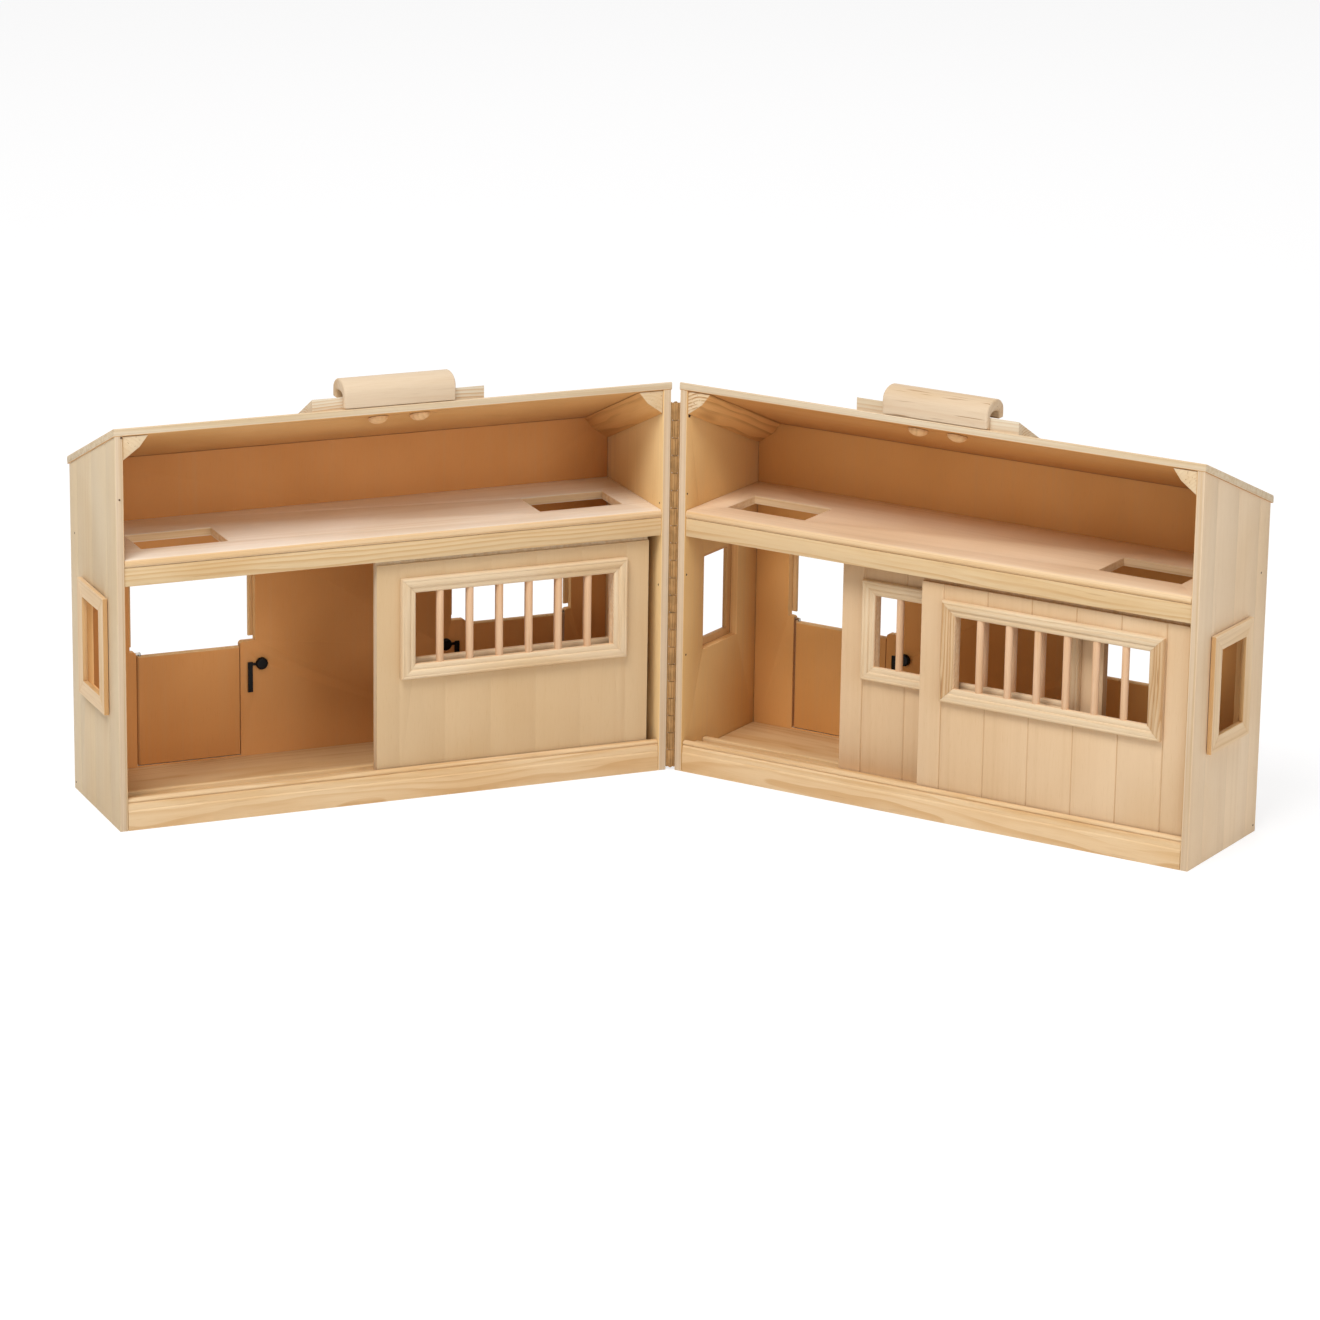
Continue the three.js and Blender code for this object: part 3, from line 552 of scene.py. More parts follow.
def new_group(name, values):
    """A group with a Vector and the named inputs, and a colour, roughness and height coming out."""
    group = bpy.data.node_groups.new(name, "ShaderNodeTree")

    def socket(key, kind, way):
        return group.interface.new_socket(name=key, in_out=way, socket_type=f"NodeSocket{kind}")

    socket("Vector", "Vector", "INPUT")
    for key, value in values.items():
        kind = "Float" if isinstance(value, float) else "Color"
        socket(key, kind, "INPUT").default_value = value if kind == "Float" else (*value, 1)
    socket("Color", "Color", "OUTPUT")
    socket("Roughness", "Float", "OUTPUT")
    socket("Height", "Float", "OUTPUT")
    w = Wiring(group)
    return group, w, w.add("NodeGroupInput").outputs


def closed_group(group, w, tone, roughness, height):
    w.add("NodeGroupOutput", inputs={"Color": tone, "Roughness": roughness, "Height": height})
    return group


def sawn_pine_group():
    """Growth rings round a pith along the piece's X axis, with fine fibre."""
    group, w, given = new_group("Sawn pine", {
        "Early wood": (0.8, 0.6, 0.35), "Late wood": (0.6, 0.35, 0.15), "Ring spacing": 0.0026,
        "Ring strength": 0.6, "Wander": 0.012, "Dashes": 0.15,
    })
    vector = given["Vector"]
    flat = (0, 1, 1)
    # The pith wanders sideways, and the rings are counted from it
    drift = w.vector("SUBTRACT", w.noise(vector, (7, 30, 30), output="Color"), (0.5, 0.5, 0.5))
    shift = w.add(
        "ShaderNodeVectorMath", operation="SCALE",
        inputs={0: w.vector("MULTIPLY", drift, flat), "Scale": given["Wander"]},
    ).outputs[0]
    moved = w.vector("ADD", vector, shift)
    radius = w.add(
        "ShaderNodeVectorMath", operation="LENGTH", inputs={0: w.vector("MULTIPLY", moved, flat)}
    ).outputs["Value"]
    uneven = w.times(w.noise(vector, (3, 60, 60), 1.0), 1.6)
    phase = w.math("FRACT", w.plus(w.math("DIVIDE", radius, given["Ring spacing"]), uneven))
    # A ring darkens slowly and ends sharply, and some years are fainter
    rings = w.times(w.ramp(phase, 0.35, 0.9), w.less(1.0, w.ramp(phase, 0.93, 1.0)))
    year = w.noise(moved, (0.5, 160, 160), 1.0)
    rings = w.times(rings, w.ramp(year, 0.25, 0.65))
    tone = w.mix(
        w.times(rings, given["Ring strength"], clamp=True), given["Early wood"], given["Late wood"]
    )
    fibre = w.noise(vector, (60, 2600, 2600), 3.0, 0.6)
    tone = w.tinted(tone, w.times(w.ramp(fibre, 0.45, 0.75), 0.55), (0.90, 0.85, 0.78))
    mottle = w.noise(vector, (9, 60, 60))
    tone = w.tinted(tone, w.ramp(mottle, 0.42, 0.68), (0.93, 0.87, 0.78))
    dash = w.ramp(w.noise(vector, (30, 800, 800), 1.0), 0.66, 0.76)
    tone = w.tinted(tone, w.times(dash, given["Dashes"], clamp=True), (0.50, 0.34, 0.22))
    return closed_group(
        group, w, tone, w.plus(0.5, w.times(fibre, 0.16)), w.plus(w.times(fibre, 0.5), w.times(rings, 0.5))
    )


def plywood_group():
    """A pale board: X along the grain, Z through the thickness, with thin layers at its edges."""
    group, w, given = new_group("Plywood sheet", {
        "Face": (0.78, 0.58, 0.38), "Streak": (0.66, 0.45, 0.26), "Inside": (0.66, 0.42, 0.22),
        "Edge": (0.72, 0.53, 0.36), "Thickness": 0.005, "Streak strength": 0.35,
    })
    vector = given["Vector"]
    depth = w.add("ShaderNodeSeparateXYZ", inputs={0: vector}).outputs["Z"]
    # -0.5 on the inner face and 0.5 on the outer one
    share = w.math("DIVIDE", depth, given["Thickness"])
    layers = w.math("ABSOLUTE", share)
    # The inner face takes the Inside colour; where that differs from the face it is partly painted light and
    # shade
    inner = w.less(1.0, w.ramp(share, -0.47, -0.40))
    core = w.less(1.0, w.ramp(layers, 0.40, 0.47))
    glue = w.times(w.ramp(layers, 0.20, 0.235), w.less(1.0, w.ramp(layers, 0.25, 0.285)))
    lines = w.noise(vector, (5, 300, 300), 3.0, 0.55, 0.3)
    broad = w.noise(vector, (2.5, 36, 36), 2.0, 0.5, 0.6)
    streak = w.times(w.ramp(lines, 0.40, 0.72), w.ramp(broad, 0.25, 0.75))
    streak = w.times(streak, given["Streak strength"], clamp=True)
    tone = w.mix(streak, given["Face"], given["Streak"])
    deep = w.mix(streak, given["Inside"], w.mix(0.6, given["Inside"], given["Streak"]))
    tone = w.mix(inner, tone, deep)
    cloud = w.noise(vector, (9, 12, 12))
    tone = w.tinted(tone, w.ramp(cloud, 0.35, 0.70), (0.93, 0.89, 0.83))
    fleck = w.noise(vector, (110, 2400, 2400), 2.0, 0.6)
    tone = w.tinted(tone, w.times(w.ramp(fleck, 0.56, 0.80), 0.5), (0.86, 0.79, 0.70))
    rim = w.tinted(given["Edge"], w.ramp(lines, 0.35, 0.70), (0.90, 0.82, 0.70))
    rim = w.tinted(rim, w.times(glue, 0.28), (0.62, 0.46, 0.34))
    return closed_group(
        group, w, w.mix(core, tone, rim), w.plus(0.52, w.times(fleck, 0.18)),
        w.plus(w.times(fleck, 0.6), w.times(lines, 0.4)),
    )


def worn_metal_group():
    """Fine brushing, small pits and darker patches for plated or painted metal."""
    group, w, given = new_group("Worn metal", {
        "Bright": (0.5, 0.4, 0.3), "Dull": (0.3, 0.2, 0.1), "Roughness low": 0.25, "Roughness high": 0.5,
    })
    vector = given["Vector"]
    brush = w.noise(vector, (400, 400, 5000))
    pits = w.noise(vector, (2500, 2500, 2500), 1.0)
    amount = w.ramp(w.noise(vector, (170, 170, 170), 4.0, 0.6), 0.40, 0.66)
    span = w.less(given["Roughness high"], given["Roughness low"])
    return closed_group(
        group, w, w.mix(amount, given["Bright"], given["Dull"]),
        w.plus(given["Roughness low"], w.times(amount, span)),
        w.plus(w.times(brush, 0.5), w.times(pits, 0.5)),
    )


GROUP_MAKERS = {"pine": sawn_pine_group, "plywood": plywood_group, "metal": worn_metal_group}
GROUPS = {}


def shader_group(name):
    if name not in GROUPS:
        GROUPS[name] = GROUP_MAKERS[name]()
    return GROUPS[name]


# Materials

WOOD_SURFACE = {"Specular IOR Level": 0.12, "Coat Weight": 0.02, "Coat Roughness": 0.4}
# How far the grain's relief rises, and how strongly it shows
RELIEF = 0.1 * MM
BOARD_RELIEF, PINE_RELIEF, METAL_RELIEF = 0.25, 0.3, 0.25


def rgba(value):
    return (value[0], value[1], value[2], 1)


def start_nodes(owner, kind):
    """Clears an owner's nodes and gives the wiring and the surface input of a new output."""
    owner.use_nodes = True
    owner.node_tree.nodes.clear()
    w = Wiring(owner.node_tree)
    return w, w.add(kind).inputs["Surface"]


def axes_mapping(w, side, grain, across, origin):
    """Object coordinates turned so that X runs along the grain and Z across the third way.

    grain and across are directions in (u, v, z) of the half, and origin is the place
    there that becomes zero. Without a side they are in the barn's frame.
    """
    grain, across = Vector(grain).normalized(), Vector(across).normalized()
    to_barn = half_matrix(side) if side else Matrix.Identity(4)
    turn = to_barn.to_3x3()
    rows = [turn @ direction for direction in (grain, across, grain.cross(across))]
    if turn.determinant() < 0:
        rows[1] = -rows[1]
    rotation = Matrix(rows)
    coordinates = w.add("ShaderNodeTexCoord")
    return w.add("ShaderNodeMapping", vector_type="POINT", inputs={
        "Vector": coordinates.outputs["Object"], "Location": -(rotation @ (to_barn @ Vector(origin))),
        "Rotation": rotation.to_euler("XYZ"),
    }).outputs[0]


def grained(name, kind, axes, values, bump, surface):
    """A material whose colour, roughness and relief come from one of the groups."""
    material = bpy.data.materials.new(name)
    w, output = start_nodes(material, "ShaderNodeOutputMaterial")
    grain = w.add("ShaderNodeGroup", node_tree=shader_group(kind))
    w.feed(grain.inputs["Vector"], axes_mapping(w, *axes))
    for key, value in values.items():
        grain.inputs[key].default_value = value if isinstance(value, float) else rgba(value)
    raised = w.add("ShaderNodeBump", inputs={
        "Strength": bump, "Distance": RELIEF, "Height": grain.outputs["Height"],
    })
    shader = w.add("ShaderNodeBsdfPrincipled", inputs={
        "Base Color": grain.outputs["Color"], "Roughness": grain.outputs["Roughness"],
        "Normal": raised.outputs[0], **surface,
    })
    w.feed(output, shader.outputs[0])
    return material


def plywood(name, side, grain, across, origin, thickness, face=None, inside=None, strength=0.35, edge=None):
    """Board material; origin lies halfway through the board's thickness."""
    c = colours()
    face = face or c.board
    return grained(f"{side} {name}", "plywood", (side, grain, across, origin), {
        "Face": face, "Streak": c.board_streak, "Inside": inside or face, "Edge": edge or c.board_edge,
        "Thickness": thickness, "Streak strength": strength,
    }, BOARD_RELIEF, WOOD_SURFACE)


def plain_cut(name, side, grain, across, origin, thickness, tone, strength=0.3):
    """Board material of one tone all through, for the faces of an opening."""
    return plywood(name, side, grain, across, origin, thickness, tone, tone, strength, tone)


def pine(
    name, side, grain, across, pith, early=None, late=None, spacing=None, strength=0.6, wander=0.012,
    dashes=0.15,
):
    """Solid pine; pith is the middle of its growth rings, usually outside the piece."""
    c, s = colours(), sizes()
    return grained(f"{side} {name}", "pine", (side, grain, across, pith), {
        "Early wood": early or c.pine, "Late wood": late or c.pine_ring,
        "Ring spacing": spacing or s.ring_spacing, "Ring strength": strength, "Wander": wander,
        "Dashes": dashes,
    }, PINE_RELIEF, WOOD_SURFACE)


# Each metal's name, how dark its patches are, its lowest and highest roughness and its surface
METALS = {
    "black": ("Latch black", 0.7, 0.25, 0.42, {"Coat Weight": 0.04, "Specular IOR Level": 0.12}),
    "brass": ("Aged brass", 0.78, 0.45, 0.6, {"Metallic": 0.2, "Specular IOR Level": 0.15}),
    "steel": ("Bright steel", 0.7, 0.2, 0.4, {"Metallic": 1.0}),
    "nail": ("Dark nail", 0.5, 0.4, 0.65, {"Metallic": 0.6}),
}


def metal_finish(key):
    """One of the metals; every piece of the barn shares it."""
    name, dull, low, high, surface = METALS[key]
    if name not in bpy.data.materials:
        bright = getattr(colours(), key)
        grained(name, "metal", (None, ALONG, ACROSS, (0, 0, 0)), {
            "Bright": bright, "Dull": [dull * x for x in bright],
            "Roughness low": low, "Roughness high": high,
        }, METAL_RELIEF, {"Coat Roughness": 0.15, **surface})
    return bpy.data.materials[name]


def seen_straight(w, output, lit, seen):
    """Shows one shader to the camera, also in mirrors and through glass, and lights with another."""
    path = w.add("ShaderNodeLightPath").outputs
    straight = w.math("MAXIMUM", path["Is Camera Ray"], path["Is Glossy Ray"])
    straight = w.math("MAXIMUM", straight, path["Is Transmission Ray"])
    both = w.add("ShaderNodeMixShader", inputs={0: straight, 1: lit.outputs[0], 2: seen.outputs[0]})
    w.feed(output, both.outputs[0])


# Operators

class BarnStep(bpy.types.Operator):
    bl_options = {"REGISTER", "UNDO"}


class BARN_OT_stage(BarnStep):
    """Lays the pale studio floor and sets the lights, the background and the camera"""

    bl_idname = "barn.stage"
    bl_label = "Stage"

    def execute(self, context):
        scene = context.scene
        scene.view_settings.view_transform = "Standard"
        self.floor()
        self.background(scene)
        for lamp in LAMPS:
            self.lamp(scene, *lamp)
        camera = bpy.data.cameras.new("Camera")
        camera.lens, camera.sensor_width = CAMERA_LENS, CAMERA_SENSOR
        camera.clip_start, camera.clip_end = 0.1, 60
        scene.camera = self.held(scene, "Camera", camera, CAMERA_PLACE, CAMERA_TURN)
        return {"FINISHED"}

    def floor(self):
        bpy.ops.object.select_all(action="DESELECT")
        bpy.ops.mesh.primitive_circle_add(vertices=96, radius=FLOOR_RADIUS, fill_type="NGON")
        floor = bpy.context.object
        floor.name = floor.data.name = "studio_floor"
        material = bpy.data.materials.new("Studio floor")
        w, output = start_nodes(material, "ShaderNodeOutputMaterial")
        matt = w.add("ShaderNodeBsdfDiffuse", inputs={"Color": rgba(colours().floor)})
        shade = w.add("ShaderNodeBsdfDiffuse", inputs={"Color": (0.36, 0.36, 0.37, 1)})
        glow = w.add("ShaderNodeEmission", inputs={"Color": (1, 1, 1, 1), "Strength": 0.72})
        seen = w.add("ShaderNodeAddShader", inputs={0: shade.outputs[0], 1: glow.outputs[0]})
        seen_straight(w, output, matt, seen)
        floor.data.materials.append(material)

    def background(self, scene):
        scene.world = bpy.data.worlds.new("Studio")
        w, output = start_nodes(scene.world, "ShaderNodeOutputWorld")
        soft = w.add("ShaderNodeBackground", inputs={"Color": (1, 0.99, 0.97, 1), "Strength": 0.40})
        white = w.add("ShaderNodeBackground", inputs={"Color": (1, 1, 1, 1), "Strength": 1.0})
        seen_straight(w, output, soft, white)

    def lamp(self, scene, name, place, target_height, size, power):
        """A round soft light that looks at a point above the middle of the floor."""
        light = bpy.data.lights.new(name, "AREA")
        light.shape = "DISK"
        light.size, light.energy = size, power
        light.color = (1.0, 0.985, 0.96)
        view = Vector((0, 0, target_height)) - Vector(place)
        self.held(scene, name, light, place, view.to_track_quat("-Z", "Y").to_euler())

    def held(self, scene, name, data, place, turn):
        holder = bpy.data.objects.new(name, data)
        holder.location, holder.rotation_euler = place, turn
        scene.collection.objects.link(holder)
        return holder


class BARN_OT_walls(BarnStep):
    """Dresses the end walls, outer walls and roof panels as pale boards with eased edges"""

    bl_idname = "barn.walls"
    bl_label = "Walls and roof"

    def execute(self, context):
        for side in SIDES:
            # The hinge end walls' inner faces take each half's hinge colour: painted light and shade
            self.end_wall(side, "hinge_end_wall", (0, 1, 30 * MM), ACROSS, of_side("hinge", side), 0.6)
            self.end_wall(
                side, "far_end_wall", (HALF_LENGTH, -1, 80 * MM), (0, -1, 0), colours().end_inside, 0.25,
            )
            self.outer_wall(side)
            self.roof(side)
            self.nails(side)
        return {"FINISHED"}

    def board(self, side, node, place, inside, strength):
        """Material of a wall that shows its paler face outside; the colour of its inner face is partly
        painted light and shade.
        """
        return plywood(
            f"{node} board".replace("_", " "), side, UP, *place, WALL_THICKNESS,
            # The outer face takes each half's wall colour, a lit or a shaded copy
            of_side("wall", side), inside, strength, colours().wall_edge,
        )

    def cut(self, side, name, place, tone):
        """Material of the cut faces of a wall's openings."""
        return plain_cut(f"{name} cut faces", side, UP, *place, WALL_THICKNESS, tone, 0.5)

    def end_wall(self, side, node, at, across, inside, strength):
        """An end wall; at is where its outer face lies, the way in from there, and its grain's start."""
        face, inward, start = at
        place = across, (face + inward * WALL_THICKNESS / 2, start, 0)
        piece = shallower(copy_of_node(f"{side}_{node}"), side, 0, face, inward, GROOVE_LOOK["end_wall"])
        # Its sloping top is raised until hardly a gap is left below the roof panel
        under_roof = Vector((0, 0, RIDGE)) - ROOF_THICKNESS * ROOF_NORMAL
        moved_points(
            piece, side, lambda point: (point - under_roof).dot(ROOF_NORMAL) > -2 * GAP,
            (GAP - HAIRLINE) * ROOF_NORMAL,
        )
        eased(piece, sizes().board_edge / 2)
        material = self.board(side, node, place, inside, strength)
        finished(piece, body_of_half(side), material, "board", f"{side}_{node}")
        # The window's cut faces take the deeper orange jamb colour: partly painted shade
        window = self.cut(side, node.replace("_", " "), place, colours().jamb)
        second_finish(piece, side, self.in_window, window)

    def outer_wall(self, side):
        node = f"{side}_outer_wall"
        place = ALONG, (0, HALF_DEPTH - WALL_THICKNESS / 2, 0)
        # Its inner face takes the darker inside colour: partly painted shade
        material = self.board(side, "outer_wall", place, of_side("inside", side), 0.25)
        piece = from_node(side, node, material, "board", sizes().board_edge)
        # The cut faces beside the half doors take the dark jamb colour: painted shade
        dark = self.cut(side, "outer wall", place, colours().shaded_jamb)
        second_finish(piece, side, self.beside_half_door, dark)
        # The hatches' cut faces take the deeper orange jamb colour: partly painted shade
        second_finish(piece, side, self.round_hatch, self.cut(side, "hatch", place, colours().jamb))

    def roof(self, side):
        node = f"{side}_roof_panel"
        middle = Vector((0, 0, RIDGE)) - ROOF_THICKNESS / 2 * ROOF_NORMAL
        # Its underside takes the darker roof colour: painted shade
        material = plywood(
            "roof board", side, ALONG, ROOF_DOWN, middle, ROOF_THICKNESS,
            inside=of_side("roof", side), strength=0.55,
        )
        from_node(side, node, material, "board", 0.6 * sizes().board_edge)

    def nails(self, side):
        nails = []
        for place, out, size in NAILS[side]:
            place, out = Vector(place) * MM, Vector(out)
            start, end = place - NAIL_DEPTH * out, place + NAIL_RISE * out
            nails.append(eased(rod("nail", size * sizes().nail_radius, start, end, 16), NAIL_ROUNDING))
        heads = placed(joined(f"{side}_nail_heads", *nails), half_matrix(side))
        finished(heads, body_of_half(side), metal_finish("nail"), "steel")

    @staticmethod
    def in_window(place, normal):
        across, up = place.y - END_WINDOW_MIDDLE[0], place.z - END_WINDOW_MIDDLE[1]
        return abs(normal.x) < 0.3 and abs(across) < END_WINDOW[0] / 2 and abs(up) < END_WINDOW[1] / 2

    @staticmethod
    def round_hatch(place, normal):
        level = LEDGE - 1 * MM < place.z < HATCH_TOP
        return abs(normal.y) < 0.3 and level and BARN_OT_walls.between_ends(place)

    @staticmethod
    def beside_half_door(place, normal):
        return abs(normal.x) > 0.8 and place.z < LEDGE and BARN_OT_walls.between_ends(place)

    @staticmethod
    def between_ends(place):
        clear = WALL_THICKNESS + 1 * MM
        return clear < place.x < HALF_LENGTH - clear


class BARN_OT_floors(BarnStep):
    """Dresses the ground floors, loft floors, loft beams, front rails and corner blocks"""

    bl_idname = "barn.floors"
    bl_label = "Floors and strips"

    def execute(self, context):
        for side in SIDES:
            self.strips(side)
            self.corner_block(side, "hinge", 5 * MM)
            self.corner_block(side, "far", HALF_LENGTH - 5 * MM)
        return {"FINISHED"}

    def strips(self, side):
        c, s = colours(), sizes()
        # Where each half's boards were sawn from the log
        shift = 0 if side == "left" else 0.4
        # The loft floor's face takes its pale loft colour: painted light
        loft = plywood(
            "loft floor", side, ALONG, ACROSS, (shift, 0, LOFT_MIDDLE), LOFT_THICKNESS,
            face=of_side("loft", side), strength=0.3, edge=c.loft_cut,
        )
        ground = pine(
            "ground floor", side, ALONG, ACROSS, (shift, 60 * MM, -30 * MM), strength=0.45,
        )
        beam = pine(
            "loft beam", side, ALONG, UP, (shift + 0.1, 26 * MM, 146 * MM), early=c.beam,
            spacing=1.7 * MM, wander=0.006, dashes=0.25,
        )
        rail = pine(
            "front rail", side, ALONG, UP, (shift + 0.2, 35 * MM, -4 * MM), early=c.rail,
            spacing=2 * MM, strength=0.55, wander=0.008, dashes=0.2,
        )
        for name, material, width, slot in (
            ("loft_floor", loft, s.board_edge, "board"),
            ("ground_floor", ground, s.board_edge, "board"),
            ("loft_beam", beam, s.board_edge / 3, "pine"),
            ("front_rail", rail, s.board_edge / 2, "pine"),
        ):
            node = f"{side}_{name}"
            piece = copy_of_node(node)
            if name == "loft_beam":
                # Its top is raised until hardly a gap is left below the loft floor
                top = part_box(node)[1].z
                moved_points(
                    piece, side, lambda place: place.z > top - NEAR, (0, 0, GAP - 0.05 * MM),
                )
            finished(eased(piece, width), body_of_half(side), material, slot, node)

    def corner_block(self, side, end, u):
        c = colours()
        node, name = f"{side}_{end}_corner_block", f"{end} corner block"
        left, striped = side == "left", (side, end) == ("right", "hinge")
        material = pine(
            name, side, ROOF_DOWN, ALONG, (u + 0.012, 0, RIDGE - 60 * MM), early=c.block, late=c.block_ring,
            spacing=(5 if left else 4) * MM, strength=0.5 if left else 0.75, wander=0.035, dashes=0.3,
        )
        ends = pine(
            f"{name} ends", side, ROOF_DOWN, ALONG, (u + 0.013, 0, RIDGE - 37 * MM),
            early=c.block_end, late=c.block_ring if striped else c.moulding_ring,
            spacing=2.1 * MM, strength=1.0 if striped else 0.25, wander=0.004, dashes=0.8,
        )
        piece = from_node(side, node, material, "pine", sizes().board_edge)
        second_finish(piece, side, lambda place, normal: normal.y < -0.6, ends)


class BARN_OT_sliding_doors(BarnStep):
    """Dresses the sliding door panels and builds their moulded windows with round bars"""

    bl_idname = "barn.sliding_doors"
    bl_label = "Sliding doors"

    def execute(self, context):
        frame_piece = moulded_frame("window_moulding", *DOOR_WINDOW)
        bars = self.bars()
        for side in SIDES:
            for track, face in TRACKS.items():
                start = DOOR_STARTS[(side, track)]
                self.panel(side, track, face, start)
                self.window(side, track, face, start, frame_piece, bars)
        dropped(frame_piece)
        dropped(bars)
        return {"FINISHED"}

    def panel(self, side, track, face, start):
        node, edge = f"{side}_{track}_door_panel", of_side("door_edge", side)
        place = start, face + DOOR_THICKNESS / 2, 0
        board = plywood(
            f"{track} door board", side, UP, (-1, 0, 0), place, DOOR_THICKNESS,
            face=of_side("door", side), strength=0.3, edge=edge,
        )
        piece = shallower(copy_of_node(node), side, 1, face, 1, GROOVE_LOOK[side])
        finished(eased(piece, sizes().board_edge), f"{side}_{track}_door", board, "board", node)
        # The window's cut faces take the pale sill colour: painted light
        cut = plain_cut(
            f"{track} door window cut", side, ALONG, UP, place, DOOR_THICKNESS, colours().sill,
        )
        length, height = DOOR_WINDOW[:2]
        middle = Vector((start + DOOR_LENGTH / 2, 0, DOOR_WINDOW_LOW + height / 2))

        def in_window(place, normal):
            off = place - middle
            return abs(normal.y) < 0.3 and abs(off.x) < length / 2 and abs(off.z) < height / 2

        second_finish(piece, side, in_window, cut)

    def window(self, side, track, face, start, frame_piece, bars):
        c = colours()
        body = f"{side}_{track}_door"
        middle, height = start + DOOR_LENGTH / 2, DOOR_WINDOW_LOW + DOOR_WINDOW[1] / 2
        matrix = half_matrix(side) @ Matrix.Translation((middle, face, height))
        look = dict(
            early=c.moulding, late=c.moulding_ring, strength=0.12 if side == "left" else 0.3, wander=0.008,
        )
        rail = pine(
            f"{track} moulding rail", side, ALONG, UP,
            (start, face + 20 * MM, DOOR_WINDOW_LOW + 20 * MM), **look,
        )
        # Painted light: the left rear door's stiles take the pale sill colour, so that they look lit in the
        # front door's shade
        if (side, track) == ("left", "rear"):
            look.update(early=c.sill)
        if (side, track) == ("right", "front"):
            look.update(early=c.moulding_wild, late=c.block_ring, strength=0.7, wander=0.03, dashes=1.0)
        stile = pine(f"{track} moulding stile", side, UP, ALONG, (middle, face + 40 * MM, 0), **look)
        # The reveals take the pale sill colour: painted light
        reveal = pine(
            f"{track} moulding reveal", side, ALONG, UP, (0.1, face + 20 * MM, 60 * MM),
            early=c.sill, strength=0.3,
        )
        moulding = placed(twin(frame_piece, f"{side}_{track}_window_moulding"), matrix)
        filled_slots(moulding, rail, stile, reveal)
        finished(moulding, body, None, "pine", f"{side}_{track}_door_grille")
        dowel = pine(
            f"{track} bars", side, UP, ALONG, (middle, face + 30 * MM, 0),
            early=c.bar, spacing=1.4 * MM, strength=0.2,
        )
        finished(placed(twin(bars, f"{side}_{track}_window_bars"), matrix), body, dowel, "pine")

    def bars(self):
        s = sizes()
        reach = DOOR_WINDOW[1] / 2 - DOOR_WINDOW[2] + BAR_SOCKET
        bar = rod("bar", s.bar_radius, (0, -BAR_SETBACK, -reach), (0, -BAR_SETBACK, reach))
        places = [((i - (s.bar_count - 1) / 2) * BAR_PITCH, 0, 0) for i in range(s.bar_count)]
        return joined("window_bars", *row_of("bar", eased(bar, 0.35 * MM), places))


def moulding_profile(width, height):
    """Widths from the outer edge and the height there of a window moulding."""
    step = sizes().moulding_step
    return (
        (0.0, height - 0.8 * MM),
        (0.05, height - 0.2 * MM),
        (0.10, height),
        (0.19, height),
        (0.21, height - 0.12 * MM),
        (0.23, height),
        (0.55, height),
        (0.585, height - 0.3 * step),
        (0.605, height - 1.15 * step),
        (0.635, height - 1.15 * step),
        (0.67, height - step),
        (0.93, height - 1.1 * step),
        (1.0, height - 1.7 * step),
    )


def moulded_rail(name, length, width, height, stepped):
    """A straight moulding along X with mitred ends; its outer edge is at Z = width."""
    piece = block(name, (-length / 2, -height, 0), (length / 2, -GAP, width))
    profile = moulding_profile(width, height) if stepped else []
    for share, _ in profile[1:-1]:
        editing(piece)
        bpy.ops.mesh.bisect(plane_co=(0, 0, width * (1 - share)), plane_no=(0, 0, 1))
        done_editing()
    for share, rise in profile:
        z = width * (1 - share)
        pick(piece, lambda v: abs(v.co.z - z) < 1e-6 and v.co.y < -height + 1e-6, "VERT")
        bpy.ops.transform.translate(value=(0, height - rise, 0))
        done_editing()
    for end in (-1, 1):
        editing(piece)
        bpy.ops.mesh.bisect(
            plane_co=(end * (length / 2 - 0.05 * MM), 0, width), plane_no=(end, 0, -1),
            use_fill=True, clear_outer=True,
        )
        done_editing()
    return piece


def moulded_frame(name, length, height, width, rise, stepped=True):
    """Four mitred mouldings round an opening, centred at the origin and standing towards -Y."""
    blanks = [bpy.data.materials.new(f"{name} {place}") for place in ("rail", "stile", "reveal")]
    rails = []
    for turn, span, offset in (
        (0, length, height / 2), (180, length, height / 2),
        (90, height, length / 2), (-90, height, length / 2),
    ):
        stile = turn in (90, -90)
        rail = moulded_rail(f"{name}_{turn}", span, width, rise, stepped)
        eased(rail, 0.08 * MM if stepped else 0.2 * MM, 1)
        for blank in blanks:
            rail.data.materials.append(blank)
        for face in rail.data.polygons:
            inner = face.normal.y > 0.7 or (face.normal.z < -0.7 and face.center.z < 0.05 * width)
            outer_edge = not stepped and stile and face.normal.z > 0.7
            face.material_index = 2 if inner or outer_edge else int(stile)
        matrix = Matrix.Rotation(math.radians(turn), 4, "Y") @ Matrix.Translation((0, 0, offset - width))
        rails.append(placed(rail, matrix))
    return joined(name, *rails)


